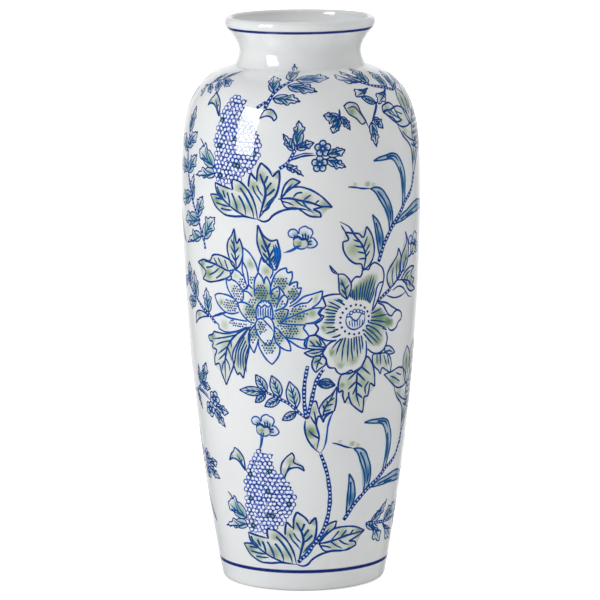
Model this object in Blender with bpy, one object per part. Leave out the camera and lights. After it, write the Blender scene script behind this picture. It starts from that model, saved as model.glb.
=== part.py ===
"""A tall porcelain vase, built in the way large porcelain vases are built.

The wall is thrown in sections: a turned foot ring, a base floor, a lower body, an upper body with
the shoulder, a neck, and a mouth rim with a rolled lip. Each rim is cut as a half lap, so that the
sections centre on each other, and a thin ring of slip (liquid clay) fills every lap and joins the
two sections. The vase stands on the flat underside of its foot ring, at z = 0, around the z axis.

A cross-section is drawn in two steps. outer_line() gives the outer face as points (radius, height),
from the top of the foot ring to the widest part of the lip. wall_point() then turns a place in the
wall, as a distance along that line and a depth below it, into such a point, so that wall sections,
laps and slip seams are all drawn in the wall's own directions.
"""
import math

import bmesh
import bpy

MM = 0.001

# Driving dimensions, in millimetres. A point is (radius, height).
HEIGHT = 460.0
BELLY = (96.5, 323.0)
FOOT_TOP = (68.1, 12.0)
TAPER_POWER = 1.88
SHOULDER_END = (53.5, 420.6)
SHOULDER_RISE = math.radians(13.0)
SHOULDER_PULLS = (54.5, 40.0)
NECK = (48.9, 432.8)
NECK_PULLS = (1.2, 5.0, 5.5)
LIP_FOOT = (57.2, 449.6)
LIP_FLARE = math.radians(49.0)
LIP_PULLS = (7.0, 2.0, 2.5)
LIP_WIDEST = (60.7, 456.3)
LIP_CREST_RADIUS = 57.7
LIP_INSIDE = (55.2, 457.0)

WALL = 6.0
CONTACT = (57.0, 63.0)
FOOT_SIDE = (67.0, 7.2)
FOOT_INSIDE_RADIUS = 55.8
FLOOR_THICKNESS = 8.0
FLOOR_BEVEL = 0.8
LEDGE_HEIGHT = 8.0
LEDGE_RADIUS = 61.7

# Joints between sections, as heights on the outer face, and the size of their laps.
WAIST_HEIGHT = 205.0
NECK_JOINT_HEIGHT = 423.5
MOUTH_JOINT_HEIGHT = 443.5
TALL_LAP = 4.0
SHORT_LAP = 2.5
GAP = 0.3
SLIP = 0.7
SPACE = SLIP + 2.0 * GAP

# How finely a turned outline is divided.
SEGMENTS = 56
ARC_STEPS = 6
MAX_STEP = 32.0
MAX_TURN = math.radians(10.0)
CURVE_STEPS = 40
SMOOTH_ANGLE = math.radians(35.0)


def clear_scene():
    """Remove every object, so that the file holds the vase alone."""
    for item in list(bpy.data.objects):
        bpy.data.objects.remove(item, do_unlink=True)


def make_material(name, colour, roughness, coat=0.0):
    """Return a Principled material that is not metallic."""
    material = bpy.data.materials.new(name)
    material.use_nodes = True
    shader = material.node_tree.nodes["Principled BSDF"]
    shader.inputs["Base Color"].default_value = (*colour, 1.0)
    shader.inputs["Metallic"].default_value = 0.0
    shader.inputs["Roughness"].default_value = roughness
    shader.inputs["Coat Weight"].default_value = coat
    material.diffuse_color = (*colour, 1.0)
    return material


def bezier(start, pull_start, pull_end, end):
    """Return points along a cubic curve, from start to end."""
    points = []
    for step in range(CURVE_STEPS + 1):
        t = step / CURVE_STEPS
        weights = ((1 - t) ** 3, 3 * t * (1 - t) ** 2, 3 * t * t * (1 - t), t ** 3)
        corners = (start, pull_start, pull_end, end)
        radius = sum(w * corner[0] for w, corner in zip(weights, corners))
        height = sum(w * corner[1] for w, corner in zip(weights, corners))
        points.append((radius, height))
    return points


def taper():
    """Return the body's side, which widens from the foot to the belly ever more slowly."""
    (belly_radius, belly_height) = BELLY
    (foot_radius, foot_height) = FOOT_TOP
    points = []
    for step in range(2 * CURVE_STEPS + 1):
        rise = step / (2 * CURVE_STEPS)
        height = foot_height + rise * (belly_height - foot_height)
        radius = belly_radius - (belly_radius - foot_radius) * (1.0 - rise) ** TAPER_POWER
        points.append((radius, height))
    return points


def outer_line():
    """Return the outer face, from the top of the foot ring to the widest part of the lip."""
    inward = (-math.cos(SHOULDER_RISE), math.sin(SHOULDER_RISE))
    shoulder = bezier(
        BELLY,
        (BELLY[0], BELLY[1] + SHOULDER_PULLS[0]),
        (SHOULDER_END[0] - SHOULDER_PULLS[1] * inward[0], SHOULDER_END[1] - SHOULDER_PULLS[1] * inward[1]),
        SHOULDER_END,
    )
    throat = bezier(
        SHOULDER_END,
        (SHOULDER_END[0] + NECK_PULLS[0] * inward[0], SHOULDER_END[1] + NECK_PULLS[0] * inward[1]),
        (NECK[0], NECK[1] - NECK_PULLS[1]),
        NECK,
    )
    flare = (math.cos(LIP_FLARE), math.sin(LIP_FLARE))
    flared_neck = bezier(
        NECK,
        (NECK[0], NECK[1] + NECK_PULLS[2]),
        (LIP_FOOT[0] - LIP_PULLS[0] * flare[0], LIP_FOOT[1] - LIP_PULLS[0] * flare[1]),
        LIP_FOOT,
    )
    lip_side = bezier(
        LIP_FOOT,
        (LIP_FOOT[0] + LIP_PULLS[1] * flare[0], LIP_FOOT[1] + LIP_PULLS[1] * flare[1]),
        (LIP_WIDEST[0], LIP_WIDEST[1] - LIP_PULLS[2]),
        LIP_WIDEST,
    )
    return taper() + shoulder[1:] + throat[1:] + flared_neck[1:] + lip_side[1:]


def running_lengths(points):
    """Return each point's distance along the line."""
    lengths = [0.0]
    for before, after in zip(points, points[1:]):
        lengths.append(lengths[-1] + math.dist(before, after))
    return lengths


LINE = outer_line()
LENGTHS = running_lengths(LINE)


def length_at_height(height):
    """Return how far along the outer face a height is."""
    for index in range(len(LINE) - 1):
        low = LINE[index][1]
        high = LINE[index + 1][1]
        if low <= height <= high:
            share = (height - low) / (high - low)
            return LENGTHS[index] + share * (LENGTHS[index + 1] - LENGTHS[index])
    return LENGTHS[-1]


def segment_at(length):
    """Return the index of the line's segment that holds a length."""
    for index in range(len(LENGTHS) - 2):
        if length <= LENGTHS[index + 1]:
            return index
    return len(LENGTHS) - 2


def direction_at_point(index):
    """Return the line's direction at one of its points, as (radius, height) of length one."""
    before = LINE[max(index - 1, 0)]
    after = LINE[min(index + 1, len(LINE) - 1)]
    span = math.dist(before, after)
    return ((after[0] - before[0]) / span, (after[1] - before[1]) / span)


def direction_at(length):
    """Return the line's direction at a length, turning smoothly from point to point."""
    index = segment_at(length)
    share = (length - LENGTHS[index]) / (LENGTHS[index + 1] - LENGTHS[index])
    first = direction_at_point(index)
    second = direction_at_point(index + 1)
    radius = first[0] + share * (second[0] - first[0])
    height = first[1] + share * (second[1] - first[1])
    size = math.hypot(radius, height)
    return (radius / size, height / size)


def wall_point(length, depth):
    """Return the point that is a depth below the outer face, at a length along it."""
    index = segment_at(length)
    share = (length - LENGTHS[index]) / (LENGTHS[index + 1] - LENGTHS[index])
    radius = LINE[index][0] + share * (LINE[index + 1][0] - LINE[index][0])
    height = LINE[index][1] + share * (LINE[index + 1][1] - LINE[index][1])
    along = direction_at(length)
    return (radius - depth * along[1], height + depth * along[0])


def wall_stretch(start, end, depth):
    """Return points along the wall at one depth, closer together where the wall turns."""
    count = max(2, math.ceil(end - start))
    places = [start + (end - start) * step / count for step in range(count + 1)]
    points = [wall_point(start, depth)]
    kept = start
    for place in places[1:-1]:
        old = direction_at(kept)
        new = direction_at(place)
        turn = abs(math.atan2(old[0] * new[1] - old[1] * new[0], old[0] * new[0] + old[1] * new[1]))
        if turn >= MAX_TURN or place - kept >= MAX_STEP:
            points.append(wall_point(place, depth))
            kept = place
    points.append(wall_point(end, depth))
    return points


def quarter_round(level, upright):
    """Return a quarter of an ellipse, from its level end to its upright end, both points."""
    points = []
    for step in range(ARC_STEPS + 1):
        angle = 0.5 * math.pi * step / ARC_STEPS
        radius = level[0] + (upright[0] - level[0]) * math.sin(angle)
        height = level[1] + (upright[1] - level[1]) * (1.0 - math.cos(angle))
        points.append((radius, height))
    return points


def lap_below(length, lap):
    """Return the rim of the section below a joint, from its outer face to its inner face."""
    step_depth = 0.5 * (WALL + SPACE)
    low = length - 0.5 * SPACE
    high = length + lap - 0.5 * SPACE
    return [
        wall_point(low, 0.0),
        wall_point(low, step_depth),
        wall_point(high, step_depth),
        wall_point(high, WALL),
    ]


def lap_above(length, lap):
    """Return the rim of the section above a joint, from its inner face to its outer face."""
    step_depth = 0.5 * (WALL - SPACE)
    low = length + 0.5 * SPACE
    high = length + lap + 0.5 * SPACE
    return [
        wall_point(high, WALL),
        wall_point(high, step_depth),
        wall_point(low, step_depth),
        wall_point(low, 0.0),
    ]


def wall_section(joint_below, joint_above):
    """Return the outline of a wall section between two joints, each given as (length, lap)."""
    (bottom, bottom_lap) = joint_below
    (top, top_lap) = joint_above
    outer = wall_stretch(bottom + 0.5 * SPACE, top - 0.5 * SPACE, 0.0)
    inner = wall_stretch(bottom + bottom_lap + 0.5 * SPACE, top + top_lap - 0.5 * SPACE, WALL)
    upper_rim = lap_below(top, top_lap)
    lower_rim = lap_above(bottom, bottom_lap)
    return outer[:-1] + upper_rim + inner[-2:0:-1] + lower_rim[:-1]


def slip_seam(length, lap):
    """Return the outline of the slip that fills a lap, with a gap to both sections."""
    half = 0.5 * SLIP
    near = 0.5 * (WALL - SPACE) + GAP
    far = near + SLIP
    return [
        wall_point(length - half, 0.0),
        wall_point(length + half, 0.0),
        wall_point(length + half, near),
        wall_point(length + lap + half, near),
        wall_point(length + lap + half, WALL),
        wall_point(length + lap - half, WALL),
        wall_point(length + lap - half, far),
        wall_point(length - half, far),
    ]


def foot_ring_outline(joint_above):
    """Return the foot ring: flat underneath, rounded outside, with a ledge for the floor inside."""
    (top, lap) = joint_above
    bevel = CONTACT[0] - FOOT_INSIDE_RADIUS
    outer_edge = quarter_round((CONTACT[1], 0.0), FOOT_SIDE)
    rim = lap_below(top, lap)
    rim[-1] = (LEDGE_RADIUS, rim[-1][1])
    inside = [
        (LEDGE_RADIUS, LEDGE_HEIGHT),
        (FOOT_INSIDE_RADIUS, LEDGE_HEIGHT),
        (FOOT_INSIDE_RADIUS, bevel),
        (CONTACT[0], 0.0),
    ]
    return outer_edge + rim + inside


def floor_outline():
    """Return the base floor, a disc that lies on the foot ring's ledge."""
    underside = LEDGE_HEIGHT + SPACE
    top = underside + FLOOR_THICKNESS
    edge = LEDGE_RADIUS - SPACE
    return [
        (0.0, underside),
        (edge, underside),
        (edge, top - FLOOR_BEVEL),
        (edge - FLOOR_BEVEL, top),
        (0.0, top),
    ]


def floor_bed_outline():
    """Return the slip under the floor and around its edge."""
    underside = LEDGE_HEIGHT + GAP
    top = LEDGE_HEIGHT + SPACE + FLOOR_THICKNESS
    outside = LEDGE_RADIUS - GAP
    inside = outside - SLIP
    return [
        (FOOT_INSIDE_RADIUS, underside),
        (outside, underside),
        (outside, top),
        (inside, top),
        (inside, underside + SLIP),
        (FOOT_INSIDE_RADIUS, underside + SLIP),
    ]


def mouth_rim_outline(joint_below):
    """Return the mouth rim, whose lip is rolled over into a rounded edge."""
    (bottom, lap) = joint_below
    crest = (LIP_CREST_RADIUS, HEIGHT)
    outer = wall_stretch(bottom + 0.5 * SPACE, LENGTHS[-1], 0.0)
    over_outside = quarter_round(crest, LIP_WIDEST)[::-1]
    over_inside = quarter_round(crest, LIP_INSIDE)
    flare = wall_point(length_at_height(LIP_FOOT[1]), WALL)
    return outer + over_outside[1:] + over_inside[1:] + [flare] + lap_above(bottom, lap)[:-1]


def turn_on_wheel(name, outline, material):
    """Spin a closed outline around the z axis into one closed solid."""
    mesh = bpy.data.meshes.new(name)
    work = bmesh.new()
    corners = [work.verts.new((radius * MM, 0.0, height * MM)) for (radius, height) in outline]
    edges = [work.edges.new((a, b)) for a, b in zip(corners, corners[1:] + corners[:1])]
    on_axis = [edge for edge in edges if max(edge.verts[0].co.x, edge.verts[1].co.x) < 1e-9]
    turned = [edge for edge in edges if edge not in on_axis]
    bmesh.ops.delete(work, geom=on_axis, context="EDGES")
    bmesh.ops.spin(
        work,
        geom=[item for item in work.verts[:] + turned if item.is_valid],
        cent=(0.0, 0.0, 0.0),
        axis=(0.0, 0.0, 1.0),
        angle=2.0 * math.pi,
        steps=SEGMENTS,
    )
    bmesh.ops.remove_doubles(work, verts=work.verts[:], dist=1e-6)
    bmesh.ops.recalc_face_normals(work, faces=work.faces[:])
    work.to_mesh(mesh)
    work.free()
    mesh.materials.append(material)
    mesh.shade_smooth()
    mesh.set_sharp_from_angle(angle=SMOOTH_ANGLE)
    piece = bpy.data.objects.new(name, mesh)
    bpy.context.scene.collection.objects.link(piece)
    return piece


def build_vase():
    """Model every section of the wall and every seam of slip."""
    foot_joint = (0.5 * SPACE, TALL_LAP)
    waist_joint = (length_at_height(WAIST_HEIGHT), TALL_LAP)
    neck_joint = (length_at_height(NECK_JOINT_HEIGHT), SHORT_LAP)
    mouth_joint = (length_at_height(MOUTH_JOINT_HEIGHT), SHORT_LAP)

    sections = {
        "foot_ring": foot_ring_outline(foot_joint),
        "base_floor": floor_outline(),
        "lower_body": wall_section(foot_joint, waist_joint),
        "upper_body": wall_section(waist_joint, neck_joint),
        "neck": wall_section(neck_joint, mouth_joint),
        "mouth_rim": mouth_rim_outline(mouth_joint),
    }
    seams = {
        "floor_slip_bed": floor_bed_outline(),
        "foot_slip_seam": slip_seam(*foot_joint),
        "waist_slip_seam": slip_seam(*waist_joint),
        "neck_slip_seam": slip_seam(*neck_joint),
        "mouth_slip_seam": slip_seam(*mouth_joint),
    }
    for name, outline in sections.items():
        turn_on_wheel(name, outline, make_material(name, (0.86, 0.87, 0.87), 0.18, coat=0.6))
    for name, outline in seams.items():
        turn_on_wheel(name, outline, make_material(name, (0.82, 0.80, 0.76), 0.6))


clear_scene()
build_vase()
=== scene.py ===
"""The finished look of the porcelain vase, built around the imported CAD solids.

The glaze is a thin closed shell over the porcelain, and every painted line and wash is a thin closed
film on that shell. The painting is drawn in millimetres on the unrolled wall. A motif is placed at an
angle around the vase (0 faces the viewer, positive to the right) and at a height along the wall, and
each of its points is mapped onto the curved glaze.
"""
import bisect
import math
import random

import bmesh
import bpy
from mathutils import Matrix, Vector, geometry


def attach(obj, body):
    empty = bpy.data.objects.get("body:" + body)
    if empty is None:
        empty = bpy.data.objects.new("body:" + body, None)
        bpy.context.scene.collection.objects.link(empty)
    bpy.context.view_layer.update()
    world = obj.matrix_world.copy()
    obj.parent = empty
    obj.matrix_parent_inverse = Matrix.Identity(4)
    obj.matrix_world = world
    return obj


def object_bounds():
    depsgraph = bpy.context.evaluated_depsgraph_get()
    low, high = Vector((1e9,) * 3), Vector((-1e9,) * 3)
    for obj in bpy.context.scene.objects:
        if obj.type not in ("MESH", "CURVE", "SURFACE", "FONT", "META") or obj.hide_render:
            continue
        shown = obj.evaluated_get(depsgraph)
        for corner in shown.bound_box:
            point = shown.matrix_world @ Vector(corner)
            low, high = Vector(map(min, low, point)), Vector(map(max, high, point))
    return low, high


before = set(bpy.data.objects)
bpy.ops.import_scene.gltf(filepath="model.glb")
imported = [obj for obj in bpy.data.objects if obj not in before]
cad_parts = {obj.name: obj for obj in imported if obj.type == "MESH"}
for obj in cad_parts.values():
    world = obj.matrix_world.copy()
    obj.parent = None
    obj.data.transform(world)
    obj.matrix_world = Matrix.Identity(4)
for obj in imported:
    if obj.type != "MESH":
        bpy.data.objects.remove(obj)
cad_low, cad_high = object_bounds()

MM = 0.001

# ---------------------------------------------------------------- the wall's outline, in millimetres
# Points are (radius, height). A pull is the distance from an end of a curve to the point that steers it.
HEIGHT = cad_high.z / MM
FOOT_TOP = (68.1, 12.0)
BELLY = (96.5, 323.0)
TAPER_POWER = 1.88
SHOULDER_END = (53.5, 420.6)
SHOULDER_RISE = math.radians(13.0)
SHOULDER_PULLS = (54.5, 40.0)
NECK = (48.9, 432.8)
NECK_PULLS = (1.2, 5.0, 5.5)
LIP_FOOT = (57.2, 449.6)
LIP_FLARE = math.radians(49.0)
LIP_PULLS = (7.0, 2.0, 2.5)
LIP_WIDEST = (60.7, 456.3)
LIP_CREST = (57.7, HEIGHT)
LIP_INSIDE = (55.2, 457.0)
FOOT_SIDE = (67.0, 7.2)
CONTACT_RADIUS = 63.0
FOOT_INSIDE_RADIUS = 55.8
WALL = 6.0
FLOOR_TOP = 17.3
# The corner between the floor and the inside of the wall, inwards and upwards.
FLOOR_CORNER = (9.0, 6.0)
# The hollow under the foot: its ceiling, the heights between which its side is straight, and its corner.
HOLLOW_TOP = 9.2
HOLLOW_SIDE = (2.2, 6.5)
HOLLOW_CORNER = 2.5

# The thin layers: heights above the porcelain, then above the glaze, and how deep a film reaches into it.
GLAZE = 0.35
GLAZE_BACK = 0.06
WASH_LIFT = 0.05
LINE_LIFT = 0.09
FILM_DEPTH = 0.12

# How finely the curves and rings are divided.
GLAZE_SEGMENTS = 144
FOOT_STEPS = 10
BODY_STEPS = 60
SHOULDER_STEPS = 50
NECK_STEPS = 16
LIP_STEPS = 10
# The glaze starts at this row of the foot's rounded edge, so that the vase stands on bare porcelain.
BARE_ROWS = 3
# The inside has its own outline near the mouth, in place of this many rows of the outer face.
MOUTH_ROWS = 12


def bezier(start, pull_start, pull_end, end, steps):
    """Return points along a cubic curve, without its first point."""
    points = []
    for step in range(1, steps + 1):
        t = step / steps
        weights = ((1 - t) ** 3, 3 * t * (1 - t) ** 2, 3 * t * t * (1 - t), t ** 3)
        corners = (start, pull_start, pull_end, end)
        points.append(tuple(sum(w * corner[axis] for w, corner in zip(weights, corners)) for axis in (0, 1)))
    return points


def quarter_round(level, upright, steps):
    """Return a quarter of an ellipse, from its level end to its upright end."""
    points = []
    for step in range(steps + 1):
        angle = 0.5 * math.pi * step / steps
        radius = level[0] + (upright[0] - level[0]) * math.sin(angle)
        height = level[1] + (upright[1] - level[1]) * (1.0 - math.cos(angle))
        points.append((radius, height))
    return points


def outer_line():
    """Return the porcelain's outer face, from the top of the foot ring to the widest part of the lip."""
    points = []
    for step in range(BODY_STEPS + 1):
        rise = step / BODY_STEPS
        height = FOOT_TOP[1] + rise * (BELLY[1] - FOOT_TOP[1])
        radius = BELLY[0] - (BELLY[0] - FOOT_TOP[0]) * (1.0 - rise) ** TAPER_POWER
        points.append((radius, height))
    (along_r, along_z) = (-math.cos(SHOULDER_RISE), math.sin(SHOULDER_RISE))
    (flare_r, flare_z) = (math.cos(LIP_FLARE), math.sin(LIP_FLARE))
    pull = SHOULDER_PULLS[1]
    points += bezier(
        BELLY,
        (BELLY[0], BELLY[1] + SHOULDER_PULLS[0]),
        (SHOULDER_END[0] - pull * along_r, SHOULDER_END[1] - pull * along_z),
        SHOULDER_END,
        SHOULDER_STEPS,
    )
    points += bezier(
        SHOULDER_END,
        (SHOULDER_END[0] + NECK_PULLS[0] * along_r, SHOULDER_END[1] + NECK_PULLS[0] * along_z),
        (NECK[0], NECK[1] - NECK_PULLS[1]),
        NECK,
        NECK_STEPS,
    )
    points += bezier(
        NECK,
        (NECK[0], NECK[1] + NECK_PULLS[2]),
        (LIP_FOOT[0] - LIP_PULLS[0] * flare_r, LIP_FOOT[1] - LIP_PULLS[0] * flare_z),
        LIP_FOOT,
        NECK_STEPS,
    )
    points += bezier(
        LIP_FOOT,
        (LIP_FOOT[0] + LIP_PULLS[1] * flare_r, LIP_FOOT[1] + LIP_PULLS[1] * flare_z),
        (LIP_WIDEST[0], LIP_WIDEST[1] - LIP_PULLS[2]),
        LIP_WIDEST,
        LIP_STEPS,
    )
    return points


def with_normals(points):
    """Return (radius, height, normal radius, normal height) for points along a line."""
    rows = []
    for index, point in enumerate(points):
        before = points[max(index - 1, 0)]
        after = points[min(index + 1, len(points) - 1)]
        span = math.dist(before, after)
        along = ((after[0] - before[0]) / span, (after[1] - before[1]) / span)
        rows.append((point[0], point[1], along[1], -along[0]))
    return rows


def offset(rows, distance):
    """Return the line moved along its normals."""
    return [(r + distance * nr, z + distance * nz) for (r, z, nr, nz) in rows]


FOOT_EDGE = quarter_round((CONTACT_RADIUS, 0.0), FOOT_SIDE, FOOT_STEPS)
WALL_ROWS = with_normals(FOOT_EDGE + outer_line())
WALL_LENGTHS = [0.0]
for first, second in zip(WALL_ROWS, WALL_ROWS[1:]):
    WALL_LENGTHS.append(WALL_LENGTHS[-1] + math.dist(first[:2], second[:2]))
# Heights along the wall are counted from the top of the foot ring.
FOOT_LENGTH = WALL_LENGTHS[len(FOOT_EDGE)]


def wall_at(along):
    """Return (radius, height, normal radius, normal height) of the porcelain at a distance up the wall."""
    length = min(max(along + FOOT_LENGTH, 0.0), WALL_LENGTHS[-1] - 1e-6)
    index = bisect.bisect_right(WALL_LENGTHS, length) - 1
    share = (length - WALL_LENGTHS[index]) / (WALL_LENGTHS[index + 1] - WALL_LENGTHS[index])
    low = WALL_ROWS[index]
    high = WALL_ROWS[index + 1]
    return tuple(a + share * (b - a) for a, b in zip(low, high))


def on_glaze(angle, along, lift):
    """Return a point above the glaze, and the normal there; the angle is in radians."""
    (r, z, nr, nz) = wall_at(along)
    size = math.hypot(nr, nz)
    (nr, nz) = (nr / size, nz / size)
    radius = r + (GLAZE + lift) * nr
    height = z + (GLAZE + lift) * nz
    (side, front) = (math.sin(angle), -math.cos(angle))
    place = (radius * side * MM, radius * front * MM, height * MM)
    return place, (nr * side, nr * front, nz)


# ---------------------------------------------------------------- colours and materials
def linear(hex_colour):
    """Turn an sRGB colour such as "1a2b3c" into linear red, green and blue."""
    channels = [int(hex_colour[place:place + 2], 16) / 255 for place in (0, 2, 4)]
    return tuple(c / 12.92 if c <= 0.04045 else ((c + 0.055) / 1.055) ** 2.4 for c in channels)


def mix(first, second, share):
    """Blend two linear colours."""
    return tuple(a + (b - a) * share for a, b in zip(first, second))


WHITE = linear("edeff2")
GLOSS_ROUGHNESS = 0.05
# Each ink has the colour of the middle of a stroke and of its edge.
INKS = {
    "navy": (linear("001458"), linear("0664c4")),
    "blue": (linear("002684"), linear("0684e0")),
    "teal": (linear("001c58"), linear("067cc0")),
    "grey": (linear("172c62"), linear("4a62a0")),
    "violet": (linear("042488"), linear("2456c2")),
}
GREENS = (WHITE, linear("cfd6c6"), linear("acbaa0"), linear("809c78"), linear("638a60"))
TEALS = (WHITE, linear("d2dfdc"), linear("a3c0bc"), linear("6b9c98"), linear("3f7f86"))
BLUES = (WHITE, linear("b9cad8"), linear("86a6bf"), linear("4f80aa"), linear("235c96"))


def ramp(colours, amount):
    """Return the colour at an amount between 0 and 1 along a row of colours."""
    place = min(max(amount, 0.0), 0.9999) * (len(colours) - 1)
    index = int(place)
    return mix(colours[index], colours[index + 1], place - index)


def new_material(name):
    """Return a new material, its node tree and its main shader."""
    material = bpy.data.materials.new(name)
    material.use_nodes = True
    return material, material.node_tree, material.node_tree.nodes["Principled BSDF"]


def set_inputs(node, values):
    """Set the named inputs of a shader node."""
    for name, value in values.items():
        node.inputs[name].default_value = value


def add_node(tree, kind, values=None, **settings):
    """Add a shader node with the given input values and attributes."""
    node = tree.nodes.new("ShaderNode" + kind)
    for name, value in settings.items():
        setattr(node, name, value)
    set_inputs(node, values or {})
    return node


def noise(tree, place, scale, detail):
    """Return a noise value over the places of a socket."""
    node = add_node(tree, "TexNoise", {"Scale": scale, "Detail": detail})
    tree.links.new(place, node.inputs["Vector"])
    return node.outputs["Fac"]


def map_range(tree, value, source, target, shape="LINEAR"):
    """Map a value from one range to another."""
    node = add_node(tree, "MapRange", interpolation_type=shape)
    set_inputs(node, {"From Min": source[0], "From Max": source[1], "To Min": target[0], "To Max": target[1]})
    tree.links.new(value, node.inputs["Value"])
    return node.outputs["Result"]


def blend(tree, kind, factor, first, second):
    """Blend two inputs, each a socket or a plain value."""
    node = add_node(tree, "Mix", data_type=kind)
    tree.links.new(factor, node.inputs["Factor"])
    for name, value in (("A", first), ("B", second)):
        if isinstance(value, bpy.types.NodeSocket):
            tree.links.new(value, node.inputs[name])
        else:
            node.inputs[name].default_value = value
    return node.outputs["Result"]


def two_tone(tree, value, colours, places):
    """Turn a value into a colour between the first and the second of two hex colours."""
    node = add_node(tree, "ValToRGB")
    for element, colour, place in zip(node.color_ramp.elements, colours, places):
        element.color = (*linear(colour), 1.0)
        element.position = place
    tree.links.new(value, node.inputs["Fac"])
    return node.outputs["Color"]


def bump(tree, height, strength, distance):
    """Return a normal that follows a height; the distance is in metres."""
    node = add_node(tree, "Bump", {"Strength": strength, "Distance": distance})
    tree.links.new(height, node.inputs["Height"])
    return node.outputs["Normal"]


def glossy_material(name):
    """Return a material with the finish that glaze and paint share: a clear gloss, slightly uneven."""
    material, tree, shader = new_material(name)
    set_inputs(shader, {"Metallic": 0.0, "IOR": 1.5, "Coat Weight": 0.35, "Coat Roughness": 0.02})
    place = add_node(tree, "TexCoord").outputs["Object"]
    sheen = noise(tree, place, 60.0, 3.0)
    roughness = map_range(tree, sheen, (0.0, 1.0), (GLOSS_ROUGHNESS - 0.02, GLOSS_ROUGHNESS + 0.03))
    tree.links.new(roughness, shader.inputs["Roughness"])
    ripple = bump(tree, noise(tree, place, 22.0, 1.5), 0.10, 0.0008)
    tree.links.new(ripple, shader.inputs["Normal"])
    tree.links.new(ripple, shader.inputs["Coat Normal"])
    return material, tree, shader, place


def glaze_material():
    """White porcelain under clear glaze, with faint warm and cool clouds and a few iron specks."""
    material, tree, shader, place = glossy_material("white_glaze")
    clouds = two_tone(tree, noise(tree, place, 14.0, 4.0), ("eceeee", "f1f2f0"), (0.35, 0.65))
    cells = add_node(tree, "TexVoronoi", {"Scale": 55.0})
    tree.links.new(place, cells.inputs["Vector"])
    specks = map_range(tree, cells.outputs["Distance"], (0.012, 0.022), (0.12, 0.0))
    colour = blend(tree, "RGBA", specks, clouds, (*linear("9b9488"), 1.0))
    tree.links.new(colour, shader.inputs["Base Color"])
    return material


def paint_material(name):
    """Paint under the glaze: the colour of each stroke, thicker and thinner in a fine grain."""
    material, tree, shader, place = glossy_material(name)
    tint = add_node(tree, "Attribute", attribute_name="tint").outputs["Color"]
    thin = map_range(tree, noise(tree, place, 420.0, 3.0), (0.3, 0.7), (0.0, 0.03))
    tree.links.new(blend(tree, "RGBA", thin, tint, (*WHITE, 1.0)), shader.inputs["Base Color"])
    return material


def biscuit_material():
    """Unglazed fired porcelain: ivory, matte, with a fine tooth and slightly darker stains."""
    material, tree, shader = new_material("biscuit_porcelain")
    set_inputs(shader, {"Roughness": 0.62})
    grain = noise(tree, add_node(tree, "TexCoord").outputs["Object"], 260.0, 6.0)
    stains = two_tone(tree, grain, ("dcd5c6", "e4ddcd"), (0.0, 1.0))
    tree.links.new(stains, shader.inputs["Base Color"])
    tree.links.new(bump(tree, grain, 0.25, 0.0002), shader.inputs["Normal"])
    return material


# ---------------------------------------------------------------- the glaze
def turned_shell(name, outline, material):
    """Turn a closed outline of (radius, height) around the axis; points on the axis become one vertex."""
    verts = []
    faces = []
    rings = []
    for (radius, height) in outline:
        if radius < 1e-6:
            rings.append([len(verts)])
            verts.append((0.0, 0.0, height * MM))
            continue
        ring = []
        for step in range(GLAZE_SEGMENTS):
            angle = 2.0 * math.pi * step / GLAZE_SEGMENTS
            ring.append(len(verts))
            verts.append((radius * math.cos(angle) * MM, radius * math.sin(angle) * MM, height * MM))
        rings.append(ring)
    for ring, following in zip(rings, rings[1:] + rings[:1]):
        if len(ring) == 1 and len(following) == 1:
            continue
        for step in range(GLAZE_SEGMENTS):
            after = (step + 1) % GLAZE_SEGMENTS
            corners = [ring[step % len(ring)], ring[after % len(ring)]]
            corners += [following[after % len(following)], following[step % len(following)]]
            faces.append(list(dict.fromkeys(corners)))
    return make_piece(name, verts, faces, material)


def make_piece(name, verts, faces, material):
    """Make a smooth closed mesh whose faces point outwards, riding on the vase."""
    mesh = bpy.data.meshes.new(name)
    mesh.from_pydata(verts, [], faces)
    work = bmesh.new()
    work.from_mesh(mesh)
    bmesh.ops.recalc_face_normals(work, faces=work.faces)
    work.to_mesh(mesh)
    work.free()
    mesh.materials.append(material)
    mesh.shade_smooth()
    piece = bpy.data.objects.new(name, mesh)
    bpy.context.scene.collection.objects.link(piece)
    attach(piece, "root")
    return piece


def build_glaze(material):
    """Coat the vase outside, over the lip, and inside down to the floor; the foot's contact stays bare."""
    over_lip = quarter_round(LIP_CREST, LIP_WIDEST, 8)[::-1][1:]
    into_mouth = quarter_round(LIP_CREST, LIP_INSIDE, 6)[1:]
    wall_inside = [(r - WALL * nr, z - WALL * nz) for (r, z, nr, nz) in WALL_ROWS[len(FOOT_EDGE):-MOUTH_ROWS]]
    wall_inside = [point for point in wall_inside if point[1] > FLOOR_TOP + FLOOR_CORNER[1]][::-2]
    floor_start = (wall_inside[-1][0] - FLOOR_CORNER[0], FLOOR_TOP)
    floor_edge = quarter_round(floor_start, wall_inside[-1], 6)[::-1][1:]
    middle = [(floor_edge[-1][0] * share, FLOOR_TOP) for share in (0.75, 0.5, 0.25)]
    whole = [row[:2] for row in WALL_ROWS[BARE_ROWS:]] + over_lip + into_mouth + wall_inside
    rows = with_normals(whole + floor_edge + middle + [(0.0, FLOOR_TOP)])
    front = offset(rows, GLAZE)
    back = offset(rows, GLAZE_BACK)
    front[0] = back[0]
    front[-1] = (0.0, FLOOR_TOP + GLAZE)
    back[-1] = (0.0, FLOOR_TOP + GLAZE_BACK)
    shell = turned_shell("glaze_coat", front + back[:0:-1], material)


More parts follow.
